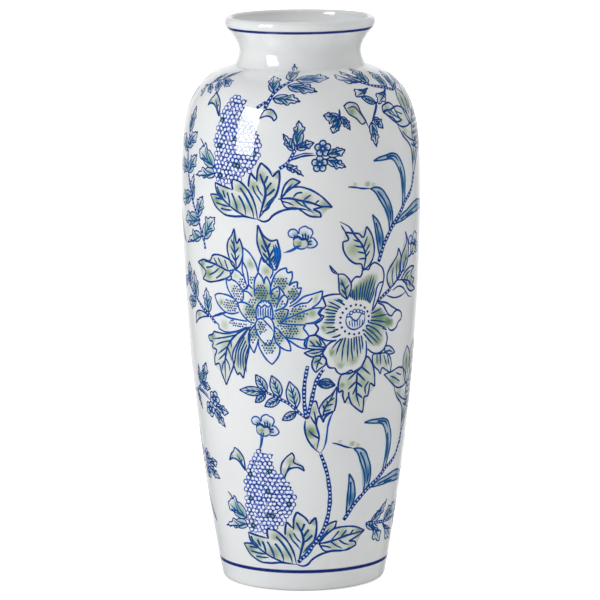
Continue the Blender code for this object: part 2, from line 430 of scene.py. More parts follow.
def build_base_glaze(material):
    """Coat the hollow under the foot."""
    side = [(FOOT_INSIDE_RADIUS, height) for height in HOLLOW_SIDE]
    corner = quarter_round((FOOT_INSIDE_RADIUS - HOLLOW_CORNER, HOLLOW_TOP), side[-1], 5)[::-1][1:]
    under = [(FOOT_INSIDE_RADIUS * share, HOLLOW_TOP) for share in (0.7, 0.35, 0.0)]
    rows = with_normals(side + corner + under)
    front = offset(rows, -GLAZE)
    back = offset(rows, -GLAZE_BACK)
    front[-1] = (0.0, HOLLOW_TOP - GLAZE)
    back[-1] = (0.0, HOLLOW_TOP - GLAZE_BACK)
    base = turned_shell("base_glaze_coat", front + back[::-1], material)


# ---------------------------------------------------------------- brushwork
# A knot is (x, y), or (x, y, TIP) where the line turns sharply.
TIP = True
STROKE_STEP = 1.1
STROKE_CORE = 0.48
STROKE_WEIGHT = 1.3
# A stroke grows and shrinks over these shares of its length, and its width wavers by this share.
STROKE_TAPERS = (0.2, 0.3)
STROKE_WAVER = 0.10
# The core of a stroke takes on the colour of its edge: with each millimetre from its nearer end, up to a
# limit, and with its wavering.
FADE_PER_MM = 0.06
FADE_LIMIT = 0.24
FADE_WAVER = 0.08
# Staggered rows lie closer together than the spots in a row, by this share.
ROW_SHARE = 0.87
WASH_STEP = 2.6
WASH_LOOP_STEP = 2.0
# Films that cross are laid at slightly different heights, so that they don't flicker.
LAYERS = 12
LAYER_RISE = 0.0025
BEAD_SPACING = 2.45
BEAD_SIZE = (0.78, 0.26)
BEAD_COLOURS = (linear("eef2fb"), linear("a9bbe8"))


def polar(distance, degrees):
    """Return the point at a distance and direction from (0, 0)."""
    return (distance * math.cos(math.radians(degrees)), distance * math.sin(math.radians(degrees)))


def plus(point, move):
    """Return a point moved by (x, y)."""
    return (point[0] + move[0], point[1] + move[1])


def between(first, second, share, aside=0.0):
    """Return a point part of the way between two points, moved aside to the left by a share of the span."""
    (x, y) = (second[0] - first[0], second[1] - first[1])
    return (first[0] + share * x - aside * y, first[1] + share * y + aside * x)


def curve(knots, before, after, step):
    """Return points along a smooth line through the knots; before and after steer its two ends."""
    row = [complex(*knot[:2]) for knot in [before] + knots + [after]]
    points = [row[1]]
    for (a, b, c, d) in zip(row, row[1:], row[2:], row[3:]):
        (ab, bc, cd) = (abs(b - a) + 1e-9, abs(c - b) + 1e-9, abs(d - c) + 1e-9)
        leave = ((b - a) / ab - (c - a) / (ab + bc) + (c - b) / bc) * bc
        arrive = ((c - b) / bc - (d - b) / (bc + cd) + (d - c) / cd) * bc
        count = max(2, round(bc / step))
        for index in range(1, count + 1):
            t = index / count
            (t2, t3) = (t * t, t * t * t)
            point = (2 * t3 - 3 * t2 + 1) * b + (t3 - 2 * t2 + t) * leave
            points.append(point + (3 * t2 - 2 * t3) * c + (t3 - t2) * arrive)
    return points


def smooth(knots, closed=False, step=STROKE_STEP):
    """Return smooth runs through (x, y) knots; a knot with TIP after it ends one run and starts the next."""
    knots = list(knots)
    tips = [index for index, knot in enumerate(knots) if len(knot) > 2]
    if closed and not tips:
        return [curve(knots + knots[:1], knots[-1], knots[1], step)]
    if closed:
        knots = knots[tips[0]:] + knots[:tips[0] + 1]
    runs = []
    start = 0
    for index in range(1, len(knots)):
        if len(knots[index]) > 2 or index == len(knots) - 1:
            run = knots[start:index + 1]
            first = between(run[1], run[0], 2.0)
            last = between(run[-2], run[-1], 2.0)
            runs.append(curve(run, first, last, step))
            start = index
    return runs


def extent(loop):
    """Return the left, right, low and high ends of a closed loop."""
    across = [point.real for point in loop]
    upward = [point.imag for point in loop]
    return min(across), max(across), min(upward), max(upward)


def inside(point, loop):
    """Tell whether a point lies inside a closed loop."""
    odd = False
    for a, b in zip(loop, loop[1:] + loop[:1]):
        if (a.imag > point.imag) != (b.imag > point.imag):
            if point.real < a.real + (point.imag - a.imag) * (b.real - a.real) / (b.imag - a.imag):
                odd = not odd
    return odd


class Film:
    """The vertices, normals, colours and faces of one thin layer of paint."""

    def __init__(self):
        self.points = []
        self.normals = []
        self.tints = []
        self.faces = []

    def add(self, place, tint):
        """Add one vertex and return its number."""
        self.points.append(place[0])
        self.normals.append(place[1])
        self.tints.append((*tint, 1.0))
        return len(self.points) - 1

    def make(self, name, material, slot_name):
        """Make the piece."""
        piece = make_piece(name, self.points, self.faces, material)
        mesh = piece.data
        tint = mesh.attributes.new("tint", "FLOAT_COLOR", "POINT")
        tint.data.foreach_set("color", [value for colour in self.tints for value in colour])
        mesh.normals_split_custom_set_from_vertices(self.normals)


class Sheet:
    """A part of the painting. Motifs are drawn on it in millimetres, around the place that at() sets."""

    def __init__(self, name):
        self.name = name
        self.random = random.Random(name)
        self.cobalt = Film()
        self.green = Film()
        self.layer = 0
        self.at(0.0, 0.0)

    def at(self, angle, height, turn=0.0, size=1.0):
        """Set the place that (0, 0) stands for, as an angle around the vase and a height up the wall."""
        self.angle = math.radians(angle)
        self.height = height
        self.turn = complex(*polar(size, turn))

    def place(self, point, lift):
        """Return the vertex position and normal for a complex point of the motif."""
        moved = point * self.turn
        along = self.height + moved.imag
        around = self.angle + moved.real / (wall_at(along)[0] + GLAZE)
        position, normal = on_glaze(around, along, lift)
        if lift < 0.0:
            normal = tuple(-value for value in normal)
        return position, normal

    def next_lift(self, base):
        """Return a height above the glaze that differs a little from stroke to stroke."""
        self.layer = (self.layer + 1) % LAYERS
        return base + LAYER_RISE * self.layer

    def stray(self, reach):
        """Return a small random move, at most that far in each direction."""
        return complex(self.random.uniform(-reach, reach), self.random.uniform(-reach, reach))

    def ribbon(self, line, width, colour, thin, lift):
        """Lay one brush stroke along a line: darkest at its ends and in its core, paler at its edges."""
        film = self.cobalt
        (core, edge) = INKS[colour]
        phase = self.random.uniform(0.0, 6.3)
        last = len(line) - 1
        rows = []
        for index, point in enumerate(line):
            along = line[min(index + 1, last)] - line[max(index - 1, 0)]
            side = along * 1j / (abs(along) + 1e-9)
            share = index / last
            rise = thin[0] + (1 - thin[0]) * share / STROKE_TAPERS[0]
            fall = thin[1] + (1 - thin[1]) * (1 - share) / STROKE_TAPERS[1]
            wave = math.sin(phase + 0.45 * index) + 0.5 * math.sin(2.0 * phase + 1.1 * index)
            half = 0.5 * STROKE_WEIGHT * width * min(1.0, rise, fall) * (1.0 + STROKE_WAVER * wave)
            gap = STROKE_STEP * min(index, last - index)
            middle = mix(core, edge, min(FADE_LIMIT, FADE_PER_MM * gap) + FADE_WAVER * wave)
            rows.append((
                film.add(self.place(point + side * half, lift), edge),
                film.add(self.place(point + side * half * STROKE_CORE, lift), middle),
                film.add(self.place(point - side * half * STROKE_CORE, lift), middle),
                film.add(self.place(point - side * half, lift), edge),
                film.add(self.place(point, -FILM_DEPTH), edge),
            ))
        for low, high in zip(rows, rows[1:]):
            for corner in range(5):
                after = (corner + 1) % 5
                film.faces.append((low[corner], low[after], high[after], high[corner]))
        film.faces.append(rows[0][::-1])
        film.faces.append(rows[-1])

    def ink(self, knots, width=1.25, colour="navy", closed=False, thin=(0.55, 0.3)):
        """Draw a line through the knots."""
        runs = smooth(knots, closed)
        if closed:
            thin = (0.85, 0.85)
        for index, run in enumerate(runs):
            starts = thin[0] if index == 0 else 0.9
            ends = thin[1] if index == len(runs) - 1 else 0.9
            self.ribbon(run, width, colour, (starts, ends), self.next_lift(LINE_LIFT))

    def veins(self, lines, width=1.15, colour="teal"):
        """Draw fine lines that fade at their far ends."""
        for knots in lines:
            self.ink(knots, width, colour, thin=(0.9, 0.2))

    def wash(self, outline, pools=(), base=0.0, colours=GREENS, fade=0.0):
        """Fill an outline with thin colour: a base shade, and pools given as (x, y, reach, shade).

        With a fade, the colour runs out to white over that distance from the outline.
        """
        film = self.green if colours is GREENS else self.cobalt
        loop = [point for run in smooth(outline, True, WASH_LOOP_STEP) for point in run[:-1]]
        points = [Vector((point.real, point.imag)) for point in loop]
        count = len(points)
        edges = [(index, (index + 1) % count) for index in range(count)]
        (left, right, low, high) = extent(loop)
        rise = WASH_STEP * ROW_SHARE
        for row in range(int((high - low) / rise) + 1):
            shift = 0.5 * WASH_STEP * (row % 2)
            for column in range(int((right - left) / WASH_STEP) + 1):
                point = complex(left + shift + column * WASH_STEP, low + row * rise)
                clear = min(abs(point - other) for other in loop)
                if clear > 0.5 * WASH_STEP and inside(point, loop):
                    points.append(Vector((point.real, point.imag)))
        (flat, _, triangles, _, _, _) = geometry.delaunay_2d_cdt(points, edges, [], 1, 1e-5, True)
        lift = self.next_lift(WASH_LIFT)
        tops = []
        bottoms = []
        for point in flat:
            shade = base
            for (x, y, reach, strength) in pools:
                near = max(0.0, 1.0 - math.hypot(point.x - x, point.y - y) / reach)
                shade = max(shade, strength * near * near * (3.0 - 2.0 * near))
            if fade:
                clear = min(abs(complex(point.x, point.y) - other) for other in loop)
                shade *= min(1.0, clear / fade)
            tint = ramp(colours, shade)
            spot = complex(point.x, point.y)
            tops.append(film.add(self.place(spot, lift), tint))
            bottoms.append(film.add(self.place(spot, -FILM_DEPTH), tint))
        border = {}
        for triangle in triangles:
            film.faces.append([tops[corner] for corner in triangle])
            film.faces.append([bottoms[corner] for corner in reversed(triangle)])
            for a, b in zip(triangle, list(triangle[1:]) + [triangle[0]]):
                if border.pop((b, a), None) is None:
                    border[(a, b)] = True
        for (a, b) in border:
            film.faces.append((tops[b], tops[a], bottoms[a], bottoms[b]))

    def shape(self, outline, width=1.25, colour="navy", pools=(), base=0.0, colours=GREENS, fade=0.0):
        """Fill an outline and draw around it."""
        if pools or base:
            self.wash(outline, pools, base, colours, fade)
        self.ink(outline, width, colour, closed=True)

    def disc(self, centre, across, along, turn, middle, rim, lift, sides=8):
        """Lay a small oval of paint."""
        film = self.cobalt
        spot = complex(*centre)
        hub = film.add(self.place(spot, lift), middle)
        deep = film.add(self.place(spot, -FILM_DEPTH), rim)
        spin = complex(*polar(1.0, turn))
        ring = []
        for step in range(sides):
            (x, y) = polar(1.0, 360.0 * step / sides)
            ring.append(film.add(self.place(spot + complex(across * x, along * y) * spin, lift), rim))
        for a, b in zip(ring, ring[1:] + ring[:1]):
            film.faces.append((hub, a, b))
            film.faces.append((deep, b, a))

    def dot(self, centre, radius, colour="navy"):
        """Touch one dot of ink."""
        (core, edge) = INKS[colour]
        turn = self.random.uniform(0.0, 180.0)
        self.disc(centre, radius, 0.85 * radius, turn, core, mix(core, edge, 0.6), self.next_lift(LINE_LIFT))

    def stem(self, knots, width=3.6):
        """Draw a beaded stem: a dark line with a row of pale beads along it."""
        line = smooth(knots)[0]
        self.ribbon(line, width / STROKE_WEIGHT, "navy", (0.95, 0.85), self.next_lift(LINE_LIFT))
        travelled = 0.0
        for before, after in zip(line, line[1:]):
            travelled += abs(after - before)
            if travelled > BEAD_SPACING:
                travelled = 0.0
                (step, middle) = (after - before, 0.5 * (before + after))
                turn = math.degrees(math.atan2(step.imag, step.real))
                (along, across) = (BEAD_SIZE[0], BEAD_SIZE[1] * width)
                self.disc((middle.real, middle.imag), along, across, turn, *BEAD_COLOURS, LINE_LIFT + 0.05)

    def finish(self):
        """Make the sheet's pieces."""
        if self.cobalt.points:
            self.cobalt.make(self.name + "_lines", COBALT, "cobalt_paint")
        if self.green.points:
            self.green.make(self.name + "_wash", WASH, "green_wash")


# ---------------------------------------------------------------- leaves and small flowers
def twig_leaf(sheet, base, tip, left, right, shade, colours=TEALS):
    """Draw a small lobed leaf; left and right are how far its side lobes may reach."""
    half_way = between(base, tip, 0.5)
    (left, right) = (between(side, half_way, 0.22) for side in (left, right))
    halves = []
    for (side, lean) in ((left, 1.0), (right, -1.0)):
        low = between(between(base, tip, 0.10), side, 0.56, 0.13 * lean)
        notch = between(between(base, tip, 0.22), side, 0.68, 0.03 * lean)
        halves.append([
            between(base, low, 0.5, 0.14 * lean),
            (*low, TIP),
            notch,
            between(notch, side, 0.5, 0.12 * lean),
            (*side, TIP),
            between(side, tip, 0.24, -0.15 * lean),
            (*between(side, tip, 0.52, 0.01 * lean), TIP),
            between(side, tip, 0.68, -0.06 * lean),
        ])
    outline = [(*base, TIP)] + halves[0] + [(*tip, TIP)] + halves[1][::-1]
    reach = 0.5 * math.dist(base, tip)
    low_pool = (*between(base, tip, 0.25), reach, shade + 0.35)
    high_pool = (*between(base, tip, 0.45), 1.3 * reach, shade + 0.15)
    sheet.shape(outline, 0.92, "navy", [low_pool, high_pool], 0.02, colours, 0.8)
    sheet.veins([(base, between(base, tip, 0.5, 0.03), between(base, tip, 0.93))], 1.05, "navy")
    for (share, length) in ((0.14, 0.8), (0.42, 0.72)):
        start = between(base, tip, share)
        for side in (left, right):
            lobe = between(between(base, tip, share + 0.12), side, length)
            sheet.veins([(start, between(start, lobe, 0.5, 0.04), lobe)], 0.9)


def simple_leaf(sheet, base, tip, swell, shade=0.45):
    """Draw a pointed leaf with a midrib and side veins; swell is its half width as a share of its length."""
    outline = [
        (*base, TIP),
        between(base, tip, 0.25, 0.75 * swell),
        between(base, tip, 0.60, 0.85 * swell),
        (*tip, TIP),
        between(base, tip, 0.60, -0.85 * swell),
        between(base, tip, 0.25, -0.75 * swell),
    ]
    middle = between(base, tip, 0.45)
    sheet.shape(outline, 1.0, "navy", [(*middle, 0.6 * math.dist(base, tip), shade)], 0.05, TEALS)
    sheet.veins([(base, middle, between(base, tip, 0.92))], 1.0, "navy")
    for step in range(3):
        share = 0.14 + 0.6 * step / 3
        start = between(base, tip, share)
        for side in (1.0, -1.0):
            end = between(base, tip, share + 0.24, side * swell * (0.62 - 0.2 * share))
            sheet.veins([(start, end)], 0.72)


def blossom(sheet, stem_end):
    """Draw a small open flower seen from the side, about 23 mm across; (0, 0) is its middle."""
    sheet.veins([((-3, -8), between((-4, -9), stem_end, 0.5, 0.06), stem_end)], 1.1, "blue")
    sheet.veins([((-5, -8), between((-7, -8), stem_end, 0.5, 0.10), stem_end)], 0.9, "blue")
    left = [(-8, -2), (-12, -1), (-13, 2), (-11, 4.5), (-8.5, 5), (-6, 3.5), (-5, 1, TIP)]
    top = [
        (-4.5, 1, TIP), (-4, 5), (-1, 7), (1, 7.2), (2.5, 6), (5, 5), (6.5, 2), (5.5, -0.5), (4, -2.5, TIP),
    ]
    right = [(4, -2.5, TIP), (6.5, -2), (8.5, -4), (10, -7), (8.5, -9), (6, -10), (2, -10, TIP)]
    for petal in (left, top, right):
        (x, y) = between(petal[0], petal[-1], 0.5)
        sheet.wash(petal, [(x, y, 5.0, 0.75)], 0.02, BLUES)
        sheet.ink(petal, 1.0, "blue", thin=(0.8, 0.8))
    heart = [
        (-9, -4), (-8, -2), (-5, -1.2), (-2, -3.2), (0.5, -2.8), (2.5, -5), (2.5, -8.5), (0, -10.5),
        (-5, -10.5), (-8.5, -8),
    ]
    sheet.wash(heart, [(-4.5, -6.5, 4.0, 0.95)], 0.25)
    sheet.ink(heart[:7], 1.7, "navy")
    sheet.ink(heart[6:] + heart[:1], 1.0, "blue")
    for knots in (((-1, -3), (-2, 1.5)), ((1, -3), (0.5, 2)), ((2.5, -4), (3, 0.5)), ((3, -5), (6, -4.5))):
        sheet.veins([knots], 1.1, "teal")
    sheet.veins([((-7, -2.5), (-8.5, 0.5)), ((-5.5, -2), (-6, 1)), ((3, -7), (6, -7.5))], 1.0, "teal")


def blade(sheet, outline, lines, pools):
    """Draw a long grass blade in blue wash."""
    sheet.wash(outline, pools, 0.3, BLUES)
    sheet.ink(outline, 1.25, "teal", closed=True)
    sheet.veins(lines, 1.35, "teal")


# ---------------------------------------------------------------- hydrangea
FLORET_SPACING = 3.9
FLORET_STRAY = 0.55
FLORET_ROW_SPACING = ROW_SHARE * FLORET_SPACING
BUD = (linear("0f5568"), linear("0b2f6a"))
BUD_HEART = (linear("b8cf9c"), linear("4f9088"))
PETAL = (linear("f6f8fd"), linear("dbe4f8"))


def floret(sheet, place, green):
    """Draw one pale petal of the head on its blue ground, or else a green bud."""
    (core, edge) = INKS["violet"]
    spin = sheet.random.uniform(0.0, 180.0)
    lift = sheet.next_lift(LINE_LIFT)
    if green:
        sheet.disc(place, 2.5, 2.4, spin, *BUD, lift + 0.01, 10)
        sheet.disc(place, 0.95, 0.85, spin, *BUD_HEART, lift + 0.05)
        return
    wide = sheet.random.uniform(2.2, 2.5)
    tone = mix(core, edge, sheet.random.uniform(0.0, 1.0))
    sheet.disc(place, wide, 0.95 * wide, spin, tone, tone, lift, 10)
    along = sheet.random.uniform(1.4, 1.9)
    across = sheet.random.uniform(1.2, 1.42)
    sheet.disc(place, along, across, spin, *PETAL, lift + 0.04)


def hydrangea_head(sheet, outline, greens):
    """Fill an outline with petals in staggered, slightly uneven rows, with dark dots between them."""
    loop = smooth(outline, True, 2.0)[0]
    spacing = FLORET_SPACING
    (left, right, low, high) = extent(loop)
    for row in range(int((high - low) / FLORET_ROW_SPACING) + 2):
        for column in range(int((right - left) / spacing) + 2):
            spot = complex(left + spacing * (column + 0.5 * (row % 2)), low + FLORET_ROW_SPACING * row)
            spot += sheet.stray(FLORET_STRAY)
            if inside(spot, loop):
                green = any(abs(spot - complex(*place)) < 0.55 * spacing for place in greens)
                floret(sheet, (spot.real, spot.imag), green)
                if (row + column) % 2 == 0:
                    sheet.dot((spot.real + 0.5 * spacing, spot.imag + 0.29 * spacing), 0.96)


def hydrangea(sheet):
    """Draw a hydrangea head over its fan of leaves; (0, 0) is where the leaves spring from."""
    head = [
        (-39, 26), (-43, 34), (-42, 46), (-44, 56), (-44, 66), (-41, 74), (-40, 84), (-35, 92), (-29, 95),
        (-21, 92), (-17, 82), (-11, 75), (-5, 68), (-1, 61), (0, 54), (-2, 46), (-6, 38), (-10, 35),
        (-14, 29), (-24, 28), (-28, 24),
    ]
    hydrangea_head(sheet, head, [(-37, 75), (-20, 78), (-22, 61), (-39, 54), (-5, 52), (-21, 40), (-36, 31)])
    hydrangea_fan(sheet)


def hydrangea_fan(sheet):
    """Draw the overlapping leaves at the left and the upright pointed leaf."""
    sheet.shape([
        (-47, 13.7, TIP), (-44, 14.2), (-37, 14), (-30, 9.8), (-23, 5.5), (-10.6, 0.3, TIP), (-17, 0),
        (-24, -1), (-31, -0.3), (-36, 2), (-41, 5.3), (-44.5, 10),
    ], pools=[(-40, 10, 9, 0.75), (-32, 5, 7, 0.5)])
    sheet.veins([
        [(-41, 11.5), (-36, 11.6), (-31, 11.2)], [(-40, 8), (-33, 7), (-25, 6.4)],
        [(-35, 4), (-29, 3.6), (-23, 4)],
    ], 1.3)
    sheet.ink([(-30, -0.4), (-22, -0.8), (-12, 0.2), (-1, -1)], 1.4)
    sheet.wash([
        (-42, 24, TIP), (-41, 19.5), (-37, 14), (-30, 9.5), (-22, 4), (-10, 0, TIP), (-3, 2), (-6, 16),
        (-24, 20), (-31, 22),
    ], [(-33, 17, 10, 0.5), (-19, 8, 11, 0.62), (-8, 8, 9, 0.5)], 0.1)
    sheet.ink([(-42, 24.2), (-41, 19.8), (-39.4, 16.2), (-36.7, 13.7), (-32.8, 11.4), (-28, 8.7)], 1.45)
    sheet.ink([(-42, 24), (-36, 22.6), (-29.4, 21.4), (-23.5, 20.3)], 1.45)
    sheet.veins([
        [(-39.4, 21), (-37.2, 16.4), (-33.9, 13.7), (-31.4, 10.3)],
        [(-33.3, 18.7), (-31.7, 15.3), (-30.3, 12.6)],
        [(-28.9, 17.6), (-27.2, 13.7), (-26.3, 10.3), (-25.6, 7)],
        [(-24.4, 17.6), (-21.7, 13), (-19.4, 7.6), (-18.3, 2.6)],
        [(-17.8, 16.4), (-14.4, 12), (-11.7, 6.4), (-10.6, 0.9)],
    ], 1.5, "teal")
    sheet.wash([
        (-24, 28.7, TIP), (-18.3, 28), (-9.4, 21.4), (-3, 10), (-0.3, -1, TIP), (-6, 6), (-12, 15),
        (-23, 20.5),
    ], [(-16, 22, 9, 0.6), (-6, 9, 8, 0.45)], 0.1)
    sheet.ink([
        (-23.3, 20.3), (-24.4, 24.2), (-24.1, 29, TIP), (-18.3, 28.1), (-9.4, 21.4), (-2.8, 9.8),
        (-0.3, -1.3),
    ], 1.45)
    sheet.veins([[(-16.7, 22.6), (-11.7, 17), (-7.8, 10.9), (-4.4, 3.7), (-3.7, -0.8)]], 1.6, "teal")
    sheet.wash([(-7.8, 35.3, TIP), (-2.8, 30.3), (1, 25), (3, 12), (0, 0, TIP), (-4, 12), (-9.2, 24)], [
        (-5, 25, 9, 0.55),
    ], 0.1)
    sheet.ink([(-9.2, 24.2), (-8.9, 30.3), (-7.8, 35.5, TIP), (-2.8, 30.3)], 1.45)
    sheet.veins([
        [(-5.6, 25.3), (-3.9, 21), (0.6, 15.3), (3.3, 11.4)],
        [(-2.2, 26), (0.6, 21), (3.9, 17.6)],
    ])
    sheet.wash([
        (0.6, 44, TIP), (3.9, 42), (10.6, 33.7), (12.8, 36.4), (15.6, 39.2, TIP), (16.4, 34), (15.6, 24.2),
        (9, 10), (1, 0, TIP), (3, 12), (4, 21), (-2.2, 29.2), (-2, 35),
    ], [(1, 33, 9, 0.6), (9, 24, 10, 0.5), (15, 35, 5, 0.7), (5, 12, 8, 0.4)], 0.12)
    sheet.ink([
        (-2.2, 29), (-2.2, 34.2), (-1.7, 38.7), (0.6, 44.2, TIP), (3.9, 42), (7.8, 38.7), (10.6, 33.7),
    ], 1.45)
    sheet.ink([
        (10.6, 33.7), (12.8, 36.4), (15.6, 39.4, TIP), (16.4, 34.2), (16.1, 27.6), (15, 22), (11, 14),
        (5, 6), (1, 0),
    ], 1.45)
    sheet.ink([(0.2, 35.3), (2.2, 31), (4.4, 26.4), (5.6, 19.8), (3.9, 12), (1, 0)], 1.7)
    sheet.veins([
        [(6.7, 34.2), (5, 29.8), (3.9, 27)],
        [(10, 29.2), (7.2, 25.3), (5.6, 22)],
        [(12.8, 24.2), (8.9, 20.3), (5.6, 17.6)],
        [(13.9, 18.7), (9.4, 14.2), (5, 9)],
    ], 1.5, "teal")


def upper_hydrangea(sheet):
    """Draw the hydrangea below the shoulder, whose long leaves hang lower."""
    hydrangea(sheet)
    hydrangea_spray(sheet, -9.0)
    hydrangea_left_curls(sheet)


def lower_hydrangea(sheet):
    """Draw the hydrangea near the foot, with one more curled leaf and a beaded stem beside it."""
    hydrangea(sheet)
    hydrangea_spray(sheet, 0.0)
    sheet.shape([
        (-9.4, 71, TIP), (-11.5, 77), (-10.6, 85.3), (-7.2, 90.3), (-2.2, 94.4, TIP), (-0.6, 91),
        (-1.1, 86.4), (2.2, 84.5), (5.6, 83), (7.4, 79, TIP), (2, 82), (-3.9, 80.8), (-7.8, 76),
    ], 1.15, pools=[(-3, 87, 7, 0.6), (-8, 78, 6, 0.5), (5, 82, 5, 0.5)])
    sheet.veins([[(-9, 72), (-6.1, 79.8), (-3.9, 85.3)], [(-5.5, 80), (-3, 82.5)]], 1.1)
    hydrangea_left_curls(sheet)
    sheet.stem([
        (1, 1), (9, 9), (14, 16.5), (18.5, 22), (22, 29), (25, 37), (27, 47), (27.8, 57), (27, 67),
        (25.5, 77), (23, 86), (20.5, 93.5),
    ], 3.5)


def hydrangea_spray(sheet, drop):
    """Draw the long leaves that sweep out to the right; their far ends are moved up by drop."""
    sheet.ink([
        (0, -1), (5, -2.4), (8.9, -0.8), (11.7, 2.6), (17.2, 6.4), (29.4, 9.6), (38.3, 9.2),
        (45, 11.4 + 0.5 * drop),
    ], 1.45)
    sheet.veins([[(3.3, 5.3), (7.2, 7.6), (10, 11)]], 1.4, "teal")
    sheet.shape([
        (18, 18, TIP), (21.7, 29.2), (26.1, 33.1), (33, 35.5 + 0.5 * drop, TIP), (31.5, 30), (27, 26.5),
    ], pools=[(27, 30, 8, 0.45)])
    sheet.veins([[(20.6, 19.8), (22.8, 24.2), (27, 29.5)]], 1.4, "teal")
    tip = (59.4, 24.2 + 1.4 * drop)
    fork = (50.6, 12.6 + drop)
    sheet.shape([
        (18, 17, TIP), (26.7, 26.4), (31.7, 28.9 + 0.2 * drop), (40.6, 29.8 + 0.5 * drop),
        (49.4, 28.7 + 0.9 * drop), (*tip, TIP), (53.9, 21 + drop), (44, 16.8 + 0.8 * drop, TIP),
        (50, 15.2 + drop), (*fork, TIP), (42, 9.5 + 0.6 * drop), (31, 10), (22, 10.5),
    ], pools=[
        (54, 24 + 1.3 * drop, 9, 0.7), (38, 24 + 0.7 * drop, 9, 0.5), (30, 15, 8, 0.4),
        (46, 13 + drop, 6, 0.5),
    ], base=0.08)
    sheet.ink([
        (16, 16.5), (25, 17.6), (34, 19.8 + 0.4 * drop), (42, 22 + 0.8 * drop), (50.6, 23 + 1.2 * drop),
        tip,
    ], 1.5)
    sheet.veins([
        [(35, 26.4 + 0.4 * drop), (31, 22), (27.2, 17.6)],
        [(41.7, 26.4 + 0.6 * drop), (38.3, 23 + 0.5 * drop), (36, 20.3 + 0.4 * drop)],
        [(48.3, 26 + drop), (45, 23 + drop)],
        [(28.3, 17.4), (33, 13.7), (37.8, 11)],
        [(35, 18.7 + 0.3 * drop), (39.4, 15.3 + 0.5 * drop), (44, 13.7 + 0.6 * drop)],
        [(19, 15), (25, 13.7), (29, 12)],
    ])


def hydrangea_left_curls(sheet):
    """Draw the curled leaf and the two lobed leaves at the left of the head."""
    sheet.shape([
        (-42.9, 76.8, TIP), (-43.4, 81.4), (-44.7, 87.7), (-48.4, 92.3), (-53.4, 95.4, TIP), (-54.7, 92),
        (-57, 89.7), (-59.7, 83.6, TIP), (-55.6, 86), (-52, 85.5), (-48.4, 83.2), (-45, 79),
    ], 1.15, pools=[(-58, 86.5, 5, 0.85), (-49, 88, 7, 0.6)])
    sheet.veins([[(-43.5, 78), (-47, 83.6), (-51.1, 89.5)], [(-46, 86), (-47, 83)]], 1.1)
    twig_leaf(sheet, (-43, 36), (-64, 47), (-65.5, 41.5), (-57, 57.5), shade=0.5)
    sheet.ink([(-57, 50), (-60.5, 54), (-64, 56.4)], 1.0)
    twig_leaf(sheet, (-41, 31.5), (-68, 26), (-57, 24.5), (-60, 35), shade=0.3)


